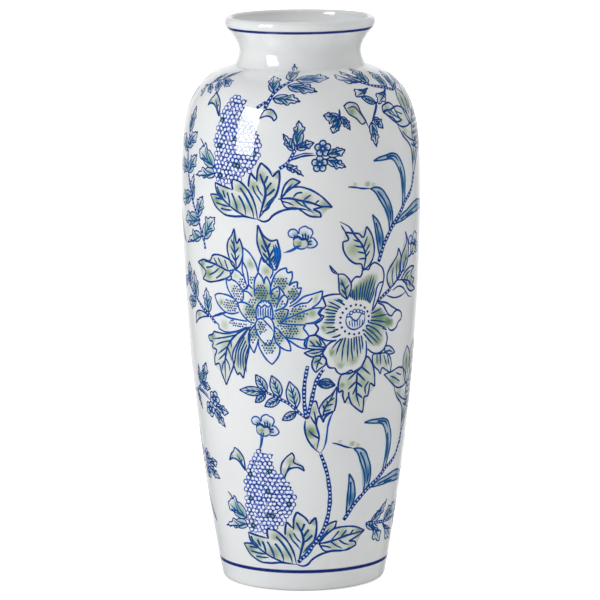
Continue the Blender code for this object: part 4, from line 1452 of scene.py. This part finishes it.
def vine(sheet):
    """Draw the beaded vine with its four grass blades; (0, 0) is beside the foot of the highest one."""
    sheet.stem([
        (-34, -40), (-30.6, -31.3), (-27, -23.8), (-20.6, -15), (-15, -8.8), (-7.5, -1.3), (-2, 5), (5, 10),
        (10, 15), (13, 21.3), (15, 27),
    ])
    blade(sheet, [
        (-39, 41.3, TIP), (-33.8, 43.4), (-26.3, 44.6), (-17.5, 45.5), (-12.5, 44), (-7.5, 38.8),
        (-3, 31.3), (-1.3, 23.8), (-1.5, 15), (-3, 5), (-6, 0, TIP), (-5.6, 8), (-6.9, 21.3), (-8.8, 28.8),
        (-12.5, 35), (-18, 40.8), (-30, 41.2),
    ], [[(-25, 43.2), (-15, 42.8), (-10, 38)], [(-9, 34), (-5.5, 25), (-4, 12)]], [
        (-5, 18, 16, 0.8), (-20, 44, 7, 0.7),
    ])
    blade(sheet, [
        (-43, 19.6, TIP), (-37, 20.2), (-31.3, 18.1), (-26.3, 12.5), (-21.3, 5), (-18.8, -3.8),
        (-19, -10, TIP), (-22.5, -16, TIP), (-23.8, -6.3), (-27.5, 1.3), (-33.8, 10), (-38.5, 16.5),
    ], [[(-36, 17), (-29, 9), (-24, 0)], [(-22, 0), (-21, -9)]], [(-23, 0, 14, 0.85), (-33, 14, 8, 0.5)])
    sheet.ink([(-63.1, 22.3), (-57.5, 21.7), (-51.3, 20.4), (-43, 19.6)], 1.2)
    for (x, y, size) in ((-57, 24.2, 2.4), (-45.5, 23.4, 4.0), (-40, 22.5, 3.0)):
        smear = []
        for step in range(9):
            angle = 0.7 * step
            smear.append((x + size * math.cos(angle), y + 0.55 * size * math.sin(angle)))
        sheet.wash(smear, [(x, y, 1.1 * size, 0.62)], 0.0)
    blade(sheet, [
        (-41, -1.3, TIP), (-35, -7.5), (-31.3, -15), (-29.8, -20), (-31, -30, TIP), (-33.5, -34, TIP),
        (-36, -24), (-38.8, -10),
    ], [[(-37.5, -8), (-34.5, -18), (-32.5, -28)]], [(-34, -22, 12, 0.9)])
    blade(sheet, [
        (-15, -11.3, TIP), (-7.5, -5.4), (2.5, -1.6), (12.5, 2.1), (24, 3.6), (37.5, 1), (52, -6),
        (66, -16), (76, -30, TIP), (62, -21), (50, -11), (38, -4.5), (22, -5.4), (7.5, -6.9), (-5, -9.6),
    ], [[(-8, -8.5), (8, -3.6), (22, -1), (34, -1.5)], [(0, -7), (14, -4.6)]], [
        (24, -1, 16, 0.55), (44, -4, 12, 0.6), (62, -16, 14, 0.8),
    ])


def lily(sheet):
    """Draw the hanging lily with its scaled bud at the end of a vine; (0, 0) is on the vine."""
    sheet.wash([
        (15, 27, TIP), (13, 38.8), (11.9, 46.3), (7.5, 51.3), (0, 57), (-5, 64), (-7.5, 70, TIP), (3.8, 66),
        (12, 60), (22, 56), (34, 50), (28, 43), (21.3, 35),
    ], [(16, 40, 10, 0.55), (2, 60, 9, 0.45), (22, 50, 9, 0.4)], 0.14)
    sheet.ink([(14, 27), (13.1, 38.8), (11.9, 46.3), (7.5, 51.3), (0, 57), (-5, 64), (-7.5, 70)], 1.3)
    sheet.ink([(16.5, 27), (21.3, 35), (27, 42), (36, 46), (44, 46)], 1.3)
    sheet.ink([(-1.3, 61.3), (6.3, 56.3), (16.3, 52.5), (25, 51.3), (32, 53)], 1.1)
    sheet.veins([
        [(14.5, 34), (15.5, 42), (18, 47)], [(17, 36), (21, 42), (26, 46)],
        [(12.5, 50), (18.8, 47.5), (28, 49)],
    ])
    bud = [(18, 50), (26, 45), (36, 47), (44, 55), (46, 66), (40, 76), (31, 76), (22, 70), (17, 60)]
    sheet.wash(bud, [(34, 58, 12, 0.75), (24, 52, 9, 0.5), (38, 70, 9, 0.6)], 0.25)
    sheet.ink(bud, 1.25, closed=True)
    for row in range(6):
        for column in range(6):
            (x, y) = (20 + 4.9 * column + 2.4 * (row % 2), 50 + 4.6 * row)
            if inside(complex(x, y), smooth(bud, True, 2.0)[0]):
                sheet.ink([
                    (x - 2.4, y + 0.4), (x - 1.2, y - 1.7), (x + 1.2, y - 1.7), (x + 2.4, y + 0.4),
                ], 0.95)
                sheet.veins([[(x, y - 1.2), (x, y + 0.8)]], 0.8)
    petals = [
        [(0, 65), (-11, 71), (-16, 75), (-21, 79, TIP), (-12, 80), (0, 82), (10, 78), (16, 68)],
        [(8, 78), (6, 88), (12, 98, TIP), (18, 93), (24, 82), (24, 72), (17, 66)],
        [(22, 80), (22, 92), (31, 101, TIP), (37, 92), (38, 80), (32, 74)],
        [(37, 82), (42, 94), (52, 96, TIP), (52, 84), (46, 74), (40, 73)],
    ]
    for outline in petals:
        (x, y) = between(outline[0], outline[3], 0.45)
        sheet.shape(outline, 1.2, pools=[(x, y, 12, 0.55), (x + 6, y - 3, 10, 0.45)], base=0.14)
    sheet.veins([
        [(2, 70), (-6, 74), (-14, 77)], [(14, 74), (13, 84), (13, 92)], [(28, 80), (29, 88), (30, 95)],
    ], 1.1)
    sheet.veins([[(42, 78), (46, 86), (50, 92)], [(4, 75), (-2, 77), (-6, 79)], [(18, 74), (19, 82)]], 1.0)


def shoulder_cluster(sheet):
    """Draw the leaves and the drooping buds that hang from the shoulder; (0, 0) is under the branch."""
    sheet.stem([(-6.7, 23.3), (2.2, 18.3), (10, 16.1), (17.8, 13.9), (26.7, 11.1)], 3.0)
    sheet.stem([(26.7, 11.1), (36, 14), (48, 20)], 3.0)
    leaves = [
        ((-4, 22), (-24, 29), (-21.7, 38), (-16, 21)), ((-3, 23), (-12, 41), (-17, 37), (-7.5, 31)),
        ((0, 20), (2.2, 45.5), (-5, 37), (8.5, 38)), ((20, 14), (16, 35.5), (10.5, 27), (25, 29)),
        ((-3, 16), (-19, 9), (-17, 17), (-11, 8)), ((17, 13), (0, 1), (2, 11), (12, 4)),
        ((30, 13), (36, 33), (28, 28), (42, 27)), ((42, 17), (60, 24), (50, 29), (58, 14)),
    ]
    for leaf in leaves:
        twig_leaf(sheet, *leaf, shade=0.45)
    simple_leaf(sheet, (-2, 2), (-15, 8.5), 0.24, 0.7)
    folded = [
        (-17, -12, TIP), (-20, -5), (-21.7, 2.8), (-27.8, 4.4), (-33.3, 1.7, TIP), (-31, -5), (-25.6, -9),
        (-21, -14),
    ]
    sheet.shape(folded, 1.1, "grey", pools=[(-28.3, -3.5, 6, 0.8), (-24, 0, 7, 0.5)], base=0.2)
    sheet.ink([(-31, -0.6), (-25, 0.5), (-20.5, -6), (-17, -13), (-15, -19)], 1.0, "grey")
    sheet.ink([(-1, 3), (-4.4, -2.8), (-8.3, -8.3), (-12, -14)], 1.6)
    twig_leaf(sheet, (-12.2, -13), (-10, -33), (-5, -26), (-15.5, -28), shade=0.5)
    twig_leaf(sheet, (-9, -10), (-0.6, -19), (0.5, -11), (-5.5, -19), shade=0.5)
    calyx = [
        (2.8, -6.1, TIP), (3.3, -1.7), (7.8, 0.3), (13.3, 0.8), (16.7, -1.7), (19.4, -8.3),
        (24.4, -15, TIP), (16.7, -15), (13.3, -11.7), (7.8, -9.4),
    ]
    sheet.shape(calyx, 1.2, pools=[(8, -4, 8, 0.5)], base=0.12)
    sheet.veins([[(4, -5), (11, -5), (18, -11)], [(9, -6), (13, -9)]])


def shoulder_twig(sheet):
    """Draw the twig with lobed leaves that climbs over the shoulder; (0, 0) is its cut end."""
    sheet.stem([(3.4, 0.2), (5.9, 7.7), (8.4, 14.3), (12.2, 20.2), (16.8, 25.2), (20.5, 29.3)], 3.2)
    sheet.stem([(-3.5, 0.5), (3.4, 5.8)], 2.8)
    sheet.shape([
        (2.6, -1.9, TIP), (4.7, -0.7), (8.8, -0.4), (12.2, -3.2), (14, -7.3), (12.2, -9.6, TIP), (10, -6.9),
        (6.8, -5.7), (0, -7.8, TIP),
    ], 1.1, pools=[(9, -3, 6, 0.6)])
    leaves = [
        ((8, 14.3), (2, 34.6), (-1.6, 27.7), (10.3, 32)), ((17.2, 27.7), (14, 51.4), (9.8, 45), (20.6, 45)),
        ((21.3, 29.3), (48, 30.6), (39.5, 40), (44.7, 24.5)),
        ((17.2, 21.8), (42.6, 15), (36.5, 24), (34, 12)), ((8.4, 9), (31, 6.4), (26, 14), (22, 2)),
    ]
    for leaf in leaves:
        tip = leaf[1]
        twig_leaf(sheet, *leaf, shade=0.42, colours=BLUES if tip[0] > 40 else TEALS)


def mid_twig(sheet):
    """Draw the small twig with two round flowers; (0, 0) is its cut end."""
    sheet.stem([(-7, 3), (-3.6, 5), (-0.7, 7.5), (2.1, 11.4), (4, 15), (5.7, 18)], 2.8)
    sheet.ink([(1.8, 9.6), (5.7, 11), (10, 12.4), (15, 13.3), (22, 13.4)], 1.3)
    sheet.ink([(1.8, 11.6), (6, 13), (12, 14.8), (20, 15)], 0.9, "blue")
    twig_leaf(sheet, (7, 20), (8, 41), (3.5, 36.5), (14.5, 37), shade=0.6)
    twig_leaf(sheet, (4.6, 17), (-4.3, 30.5), (-4.5, 22), (3.5, 27.5), shade=0.45)
    twig_leaf(sheet, (6.4, 18.6), (20.5, 23.4), (15.5, 27), (18.4, 18.4), shade=0.45)
    twig_leaf(sheet, (-1.5, 5), (12.3, -3), (7.5, 6.4), (3, -0.5), shade=0.75)
    for (x, y) in ((27.4, 18.4), (25, 6.4)):
        for step in range(5):
            (a, b) = plus((x, y), polar(3.9, 90 + 72 * step))
            ring = [plus((a, b), polar(2.7, 60 * corner)) for corner in range(6)]
            sheet.shape(ring, 1.05, "navy", [(x, y, 7.5, 0.95)], 0.08, TEALS)
            sheet.veins([[(x, y), (a, b)]], 1.0, "navy")
        sheet.dot((x, y), 2.4)
        sheet.disc((x, y), 0.9, 0.8, 0.0, linear("dfe6f6"), linear("9fb2e4"), LINE_LIFT + 0.06)
    twig_leaf(sheet, (30.7, 13.6), (46, 17), (40, 20.5), (44.8, 11.5), shade=0.4)
    twig_leaf(sheet, (30, 10), (46.6, 3), (44, 9), (39, 0.5), shade=0.4)


def right_cluster(sheet):
    """Draw the dark leaf cluster that hangs beside the mid twig; (0, 0) is its middle."""
    twig_leaf(sheet, (0, 0), (-13.5, 1.5), (-10, -7), (-10.5, 5), shade=0.7)
    twig_leaf(sheet, (0, -1), (-7, -13), (-1.5, -12), (-10.5, -10), shade=0.5)
    twig_leaf(sheet, (1, 0), (8, -11), (9, -4), (2.5, -9), shade=0.85)
    sheet.ink([(0, -1), (0.4, 6.4)], 1.3)


def crown(sheet):
    """Draw the twin stems, the leafy bud below them and the side twig; (0, 0) is beside the fork."""
    sheet.stem([(3, 5), (1.7, 15), (1.2, 25), (1.7, 35), (2.8, 42), (4.3, 49)], 3.3)
    sheet.stem([(3.6, 6), (7, 20), (8.7, 28), (11, 36), (14, 42), (17, 46)], 3.3)
    sheet.stem([(2, 6.5), (-3, 10.5), (-8, 15.5), (-13, 19), (-19, 22), (-25, 25), (-29, 26.5)], 2.6)
    leaves = [
        ((-5, 14), (-10.5, 36.5), 0.25), ((-18, 23), (-25, 41), 0.26), ((-29, 27), (-38.5, 41), 0.26),
        ((-30, 27), (-53.5, 27), 0.17), ((-30, 26), (-39, 17.5), 0.26), ((-18, 22), (-31, 15), 0.26),
        ((-5, 11), (-16.5, 4), 0.26), ((12, 34), (25.5, 32.5), 0.24),
    ]
    for (base, tip, swell) in leaves:
        simple_leaf(sheet, base, tip, swell)
    sheet.wash([
        (2, 4, TIP), (1.5, -2), (3, -10), (7, -17), (11, -21.5, TIP), (13, -17), (12, -10), (10.5, -2),
        (12, 8), (10, 20, TIP), (6, 16), (4, 8),
    ], [(6, -6, 9, 0.95), (9, 12, 8, 0.45), (10, -17, 6, 0.4)], 0.14)
    sheet.ink([(2, 4), (1.5, -2), (3, -10), (7, -17), (11, -21.5), (13.5, -23.5)], 1.35)
    sheet.ink([(5, 13), (7, 18), (10, 20), (12.5, 13)], 1.25)
    sheet.ink([(9, 11.5), (10, 7), (10.5, 1), (13, -11), (12, -16), (11, -20.5)], 1.3)
    sheet.veins([[(12.5, -11), (8, -8), (4.5, -4)], [(10.5, 0.5), (8, 4), (6, 8)]], 1.25, "navy")
    sheet.ink([
        (10.8, -1), (11.2, 4), (13, 7.5), (15.5, 5), (16.5, 2, TIP), (17.5, 5.5), (20.5, 8.5), (25, 10.5),
    ], 1.3)
    sheet.ink(
        [(25, 11), (22.5, 6), (20.5, 0), (19.5, -7), (18.5, -14), (16.5, -20), (14, -23.5)], 1.2, "blue",
    )
    sheet.shape([
        (15, 7, TIP), (13, 12.5), (15, 17), (18.5, 21), (22.5, 24), (28, 31, TIP), (27.5, 24), (27, 17),
        (25.5, 11, TIP), (20, 9.5),
    ], 1.2, pools=[(19, 16, 7, 0.75), (24, 20, 7, 0.4)], base=0.1)
    sheet.ink([(15.8, 6), (18, 14), (22, 20), (26.5, 28)], 1.2)
    sheet.veins([
        [(17, 11), (23, 12.5)], [(19, 15.5), (25, 17)], [(21.5, 19.5), (26, 22)], [(17.4, 13), (16, 17)],
        [(20, 17), (19.5, 20.5)],
    ])


def left_branch(sheet):
    """Draw the tall branch with lobed leaves at the left; (0, 0) is below its foot."""
    sheet.stem([
        (20, 9), (19, 14), (17, 19), (14, 25), (11, 32), (7, 38), (3, 44), (0, 50), (-3, 58), (-6, 66),
        (-8, 75), (-9, 88), (-8, 100),
    ], 2.9)
    leaves = [
        ((10, 34), (18.5, 51.5), (8.5, 50), (21.5, 42.5)), ((14, 32), (-16, 28), (-8, 23.5), (-12, 38)),
        ((18.5, 17), (33.5, 36), (21, 38), (34.5, 26.5)), ((15.5, 19), (-12.5, 10), (0, 12), (0, 25)),
        ((2, 46), (5, 68), (-4, 62), (7, 58)), ((0, 50), (-25, 44), (-18, 38), (-20, 54)),
        ((-6, 68), (9, 84), (-2, 84), (10, 75)), ((-7, 72), (-28, 72), (-20, 64), (-22, 81)),
        ((-9, 88), (7, 102), (-3, 103), (8, 94)), ((-9, 86), (-27, 96), (-26, 88), (-18, 101)),
        ((-8, 100), (-6, 122), (-13, 114), (1, 115)),
    ]
    for leaf in leaves:
        twig_leaf(sheet, *leaf, shade=0.45)


def low_branch(sheet):
    """Draw the short branch that runs up to the left from the dahlia; (0, 0) is above it."""
    sheet.stem([
        (28, -50.5), (24, -47), (20, -44), (12, -40), (5, -35), (-3, -30), (-10, -24), (-17, -17),
    ], 2.9)
    sheet.ink([(24, -46), (31, -43), (40, -40)], 1.1)
    leaves = [
        ((2, -34), (0, -11), (-8, -18), (8.5, -18.5)), ((20, -43), (18.5, -22.5), (11.5, -29), (26.5, -29)),
        ((1, -36), (-17, -37), (-10, -46), (-12, -31)), ((-10, -25), (-10, -5), (-17, -10), (-3, -9)),
        ((-15, -20), (-33, -24), (-26, -30), (-28, -18)),
    ]
    for leaf in leaves:
        twig_leaf(sheet, *leaf, shade=0.45)
    sheet.shape([
        (20, -46, TIP), (12, -43), (5, -43), (0, -45.5), (-2, -54.5, TIP), (3, -50.5), (8, -48.5),
        (14, -46.8),
    ], 1.1, pools=[(5, -46, 7, 0.6)], base=0.15)


def side_sprig(sheet):
    """Draw the branching sprig near the foot at the right; (0, 0) is at its cut end."""
    sheet.stem([(0, 0), (14, -1), (28, -2), (44, -1), (58, 3)], 2.8)
    leaves = [
        ((6, 0), (26, 17), (12, 9), (24, 7)), ((8, -2), (20, -18), (8, -13), (22, -9)),
        ((24, -1), (44, 12), (30, 12), (45, 3)), ((22, -3), (44, -20), (28, -17), (42, -11)),
        ((44, -1), (64, -12), (50, -13), (62, -4)), ((46, 0), (66, 14), (52, 12), (66, 6)),
    ]
    for leaf in leaves:
        twig_leaf(sheet, *leaf, shade=0.42)
    twig_leaf(sheet, (0, 0), (17, -8), (13, 1), (11, -9), shade=0.5)


# ---------------------------------------------------------------- the whole painting
def joined_lily(sheet):
    """Draw the lily with the piece of stem that joins it to a leaning vine."""
    lily(sheet)
    sheet.stem([(13.0, 16.5), (14.4, 22.0), (15.0, 28.0)], 3.3)


# Each sheet of a panel has its motifs, and each motif has its place: the angle around the vase and the
# height along the wall, then where needed the turn and the size. Further values go to the motif itself.
PANEL = {
    "upper_hydrangea": [(upper_hydrangea, (-20.7, 298.1, -2.7))],
    "lower_hydrangea": [(lower_hydrangea, (-4.4, 12.6)), (blossom, (-19.5, 131.0), (-8, -25))],
    "dahlia": [(dahlia, (-17.0, 213.0))],
    "dahlia_leaves": [(dahlia_leaves, (-17.0, 213.0))],
    "peony": [(peony, (27.0, 213.0))],
    "peony_leaves": [(peony_leaves, (27.0, 213.0)), (top_leaf, (60.0, 300.0))],
    "shoulder_twigs": [
        (shoulder_twig, (-21.0, 385.0)),
        (mid_twig, (-6.0, 335.0)),
        (right_cluster, (20.0, 378.0)),
        (blossom, (1.5, 285.0), (-17, -14)),
    ],
    "shoulder_cluster": [(shoulder_cluster, (45.0, 385.0)), (shoulder_twig, (-72.5, 399.0, -26.0, 0.62))],
    "upper_vine": [(vine, (60.0, 300.0)), (lily, (60.0, 300.0)), (blossom, (71.0, 271.0), (-14, -12))],
    "lower_vine": [
        (vine, (55.6, 81.5, -10.0)),
        (joined_lily, (60.0, 87.5)),
        (side_sprig, (42.0, 42.0)),
    ],
    "crown": [(crown, (0.0, 130.0))],
    "left_branches": [
        (left_branch, (-65.0, 260.0)),
        (low_branch, (-65.0, 260.0)),
        (mid_twig, (-75.0, 142.0, -27.0)),
        (mid_twig, (-90.0, 75.0)),
    ],
}


def paint_panel(turn, tag):
    """Paint one of the two matching panels, turned around the vase."""
    for name, motifs in PANEL.items():
        sheet = Sheet(name + "_" + tag)
        for (draw, (angle, height, *stance), *details) in motifs:
            sheet.at(turn + angle, height, *stance)
            draw(sheet, *details)
        sheet.finish()


# The name, the height of the middle and the width of each ring, in millimetres.
BANDS = (("foot_line", 13.5, 2.9), ("lip_line", 451.6, 2.6))


def paint_band(name, along, width):
    """Paint a plain dark ring around the vase, closed on itself."""
    (dark, pale) = (linear("020f5c"), linear("1a3f98"))
    half = 0.5 * width
    rows = (
        (-half, LINE_LIFT, pale), (0.0, LINE_LIFT, dark), (half, LINE_LIFT, pale), (0.0, -FILM_DEPTH, dark),
    )
    film = Film()
    for step in range(GLAZE_SEGMENTS):
        for (rise, lift, tint) in rows:
            (place, normal) = on_glaze(2.0 * math.pi * step / GLAZE_SEGMENTS, along + rise, lift)
            outward = normal if lift > 0.0 else tuple(-value for value in normal)
            film.add((place, outward), tint)
        for corner in range(4):
            low = 4 * step
            high = 4 * ((step + 1) % GLAZE_SEGMENTS)
            after = (corner + 1) % 4
            film.faces.append((low + corner, low + after, high + after, high + corner))
    film.make(name, COBALT, "cobalt_paint")


def length_at_height(height):
    """Return the distance up the wall at which the porcelain's outer face reaches a height."""
    for row, length in zip(WALL_ROWS, WALL_LENGTHS):
        if row[1] >= height:
            return length - FOOT_LENGTH
    return WALL_LENGTHS[-1] - FOOT_LENGTH


# ---------------------------------------------------------------- studio, in metres and degrees
CAMERA_PLACE = (0.0, -3.327, 0.7672)
CAMERA_PITCH = -9.17
CAMERA_ROLL = -0.407
CAMERA_LENS = 248.05
CAMERA_SHIFT = (-0.0031, -0.0043)
LIT_PLACE = (0.0, 0.0, 0.27)
# The window lights the vase with one lamp, and its reflection in the glaze comes from another. Each has
# its azimuth to the viewer's left, its rise above the level, its distance, size, power and colour.
WINDOW_GLOW = (58.0, 17.0, 1.6, (0.95, 1.1), 7.6, (0.95, 0.965, 1.0))
WINDOW_SHINE = (54.5, 22.0, 1.5, (0.51, 0.96), 19.5, (0.97, 0.99, 1.0))
FLOOR_REACH = 6.0
FLOOR_DROP = 0.0002


def window_lamp(name, azimuth, rise, distance, size, power, colour):
    """Add a soft rectangular lamp that points at the vase."""
    data = bpy.data.lights.new(name, "AREA")
    data.shape = "RECTANGLE"
    (data.size, data.size_y) = size
    data.energy = power
    data.color = colour
    (turn, lift) = (math.radians(azimuth), math.radians(rise))
    level = distance * math.cos(lift)
    (x, y, z) = LIT_PLACE
    place = (x - level * math.sin(turn), y - level * math.cos(turn), z + distance * math.sin(lift))
    lamp = bpy.data.objects.new(name, data)
    lamp.location = place
    lamp.rotation_euler = (Vector(LIT_PLACE) - Vector(place)).to_track_quat("-Z", "Y").to_euler()
    bpy.context.scene.collection.objects.link(lamp)
    return lamp


def build_camera():
    """Set the camera far off with a long lens, looking slightly down."""
    data = bpy.data.cameras.new("camera")
    data.sensor_width = 36.0
    data.lens = CAMERA_LENS
    (data.shift_x, data.shift_y) = CAMERA_SHIFT
    data.clip_end = 50.0
    camera = bpy.data.objects.new("camera", data)
    camera.location = CAMERA_PLACE
    pitch = Matrix.Rotation(math.radians(90.0 + CAMERA_PITCH), 3, "X")
    camera.rotation_euler = (pitch @ Matrix.Rotation(math.radians(CAMERA_ROLL), 3, "Z")).to_euler()
    bpy.context.scene.collection.objects.link(camera)
    bpy.context.scene.camera = camera


def build_studio():
    """Set the camera, the lamps, the white surroundings and the pale floor."""
    bpy.context.scene.view_settings.view_transform = "Standard"
    build_camera()
    window_lamp("window_glow", *WINDOW_GLOW).visible_glossy = False
    window_lamp("window_shine", *WINDOW_SHINE).visible_diffuse = False
    build_world()
    build_floor()


def build_world():
    """Light the scene from pale surroundings: soft from the front left, brightest behind at the right."""
    world = bpy.data.worlds.new("studio")
    bpy.context.scene.world = world
    world.use_nodes = True
    tree = world.node_tree
    place = add_node(tree, "TexCoord").outputs["Generated"]
    parts = add_node(tree, "SeparateXYZ")
    tree.links.new(place, parts.inputs["Vector"])
    facing = add_node(tree, "VectorMath", operation="DOT_PRODUCT")
    facing.inputs[1].default_value = Vector((-0.38, -0.88, 0.28)).normalized()
    tree.links.new(place, facing.inputs[0])
    front = map_range(tree, facing.outputs["Value"], (0.05, 0.98), (0.33, 0.72), "SMOOTHSTEP")
    behind = map_range(tree, parts.outputs["X"], (-0.15, 0.4), (1.1, 2.1), "SMOOTHSTEP")
    depth = map_range(tree, parts.outputs["Y"], (-0.1, 0.6), (0.0, 1.0), "SMOOTHSTEP")
    mirrored = map_range(tree, parts.outputs["Y"], (0.80, 1.0), (0.07, 0.98), "SMOOTHSTEP")
    ray = add_node(tree, "LightPath")
    seen = ray.outputs["Is Camera Ray"]
    lighting = blend(tree, "FLOAT", depth, front, behind)
    strength = blend(tree, "FLOAT", ray.outputs["Is Glossy Ray"], lighting, mirrored)
    background = tree.nodes["Background"]
    tree.links.new(blend(tree, "FLOAT", seen, strength, 1.0), background.inputs["Strength"])
    colour = blend(tree, "RGBA", seen, (0.98, 0.984, 1.0, 1.0), (1.0, 1.0, 1.0, 1.0))
    tree.links.new(colour, background.inputs["Color"])


def build_floor():
    """Lay a plain white floor that melts into the white background."""
    mesh = bpy.data.meshes.new("floor")
    corners = [(x * FLOOR_REACH, y * FLOOR_REACH, 0) for (x, y) in ((-1, -1), (1, -1), (1, 1), (-1, 1))]
    mesh.from_pydata(corners, [], [(0, 1, 2, 3)])
    floor = bpy.data.objects.new("floor", mesh)
    floor.location.z = -FLOOR_DROP
    bpy.context.scene.collection.objects.link(floor)
    material, tree, shader = new_material("floor_white")
    set_inputs(shader, {"Base Color": (0.9, 0.9, 0.9, 1.0), "Roughness": 0.6})
    set_inputs(shader, {"Emission Color": (1.0, 1.0, 1.0, 1.0)})
    seen = add_node(tree, "LightPath").outputs["Is Camera Ray"]
    glow = map_range(tree, seen, (0.0, 1.0), (0.08, 0.62))
    tree.links.new(glow, shader.inputs["Emission Strength"])
    mesh.materials.append(material)
    floor.visible_glossy = False


# ---------------------------------------------------------------- the whole vase
WASH = paint_material("green_wash_paint")
COBALT = paint_material("cobalt_paint")
GLAZE_WHITE = glaze_material()
BISCUIT = biscuit_material()

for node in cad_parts.values():
    node.data.materials.clear()
    node.data.materials.append(BISCUIT)

build_glaze(GLAZE_WHITE)
build_base_glaze(GLAZE_WHITE)
for (band, height, width) in BANDS:
    paint_band(band, length_at_height(height), width)
for (turn, side) in ((0.0, "front"), (180.0, "back")):
    paint_panel(turn, side)
build_studio()
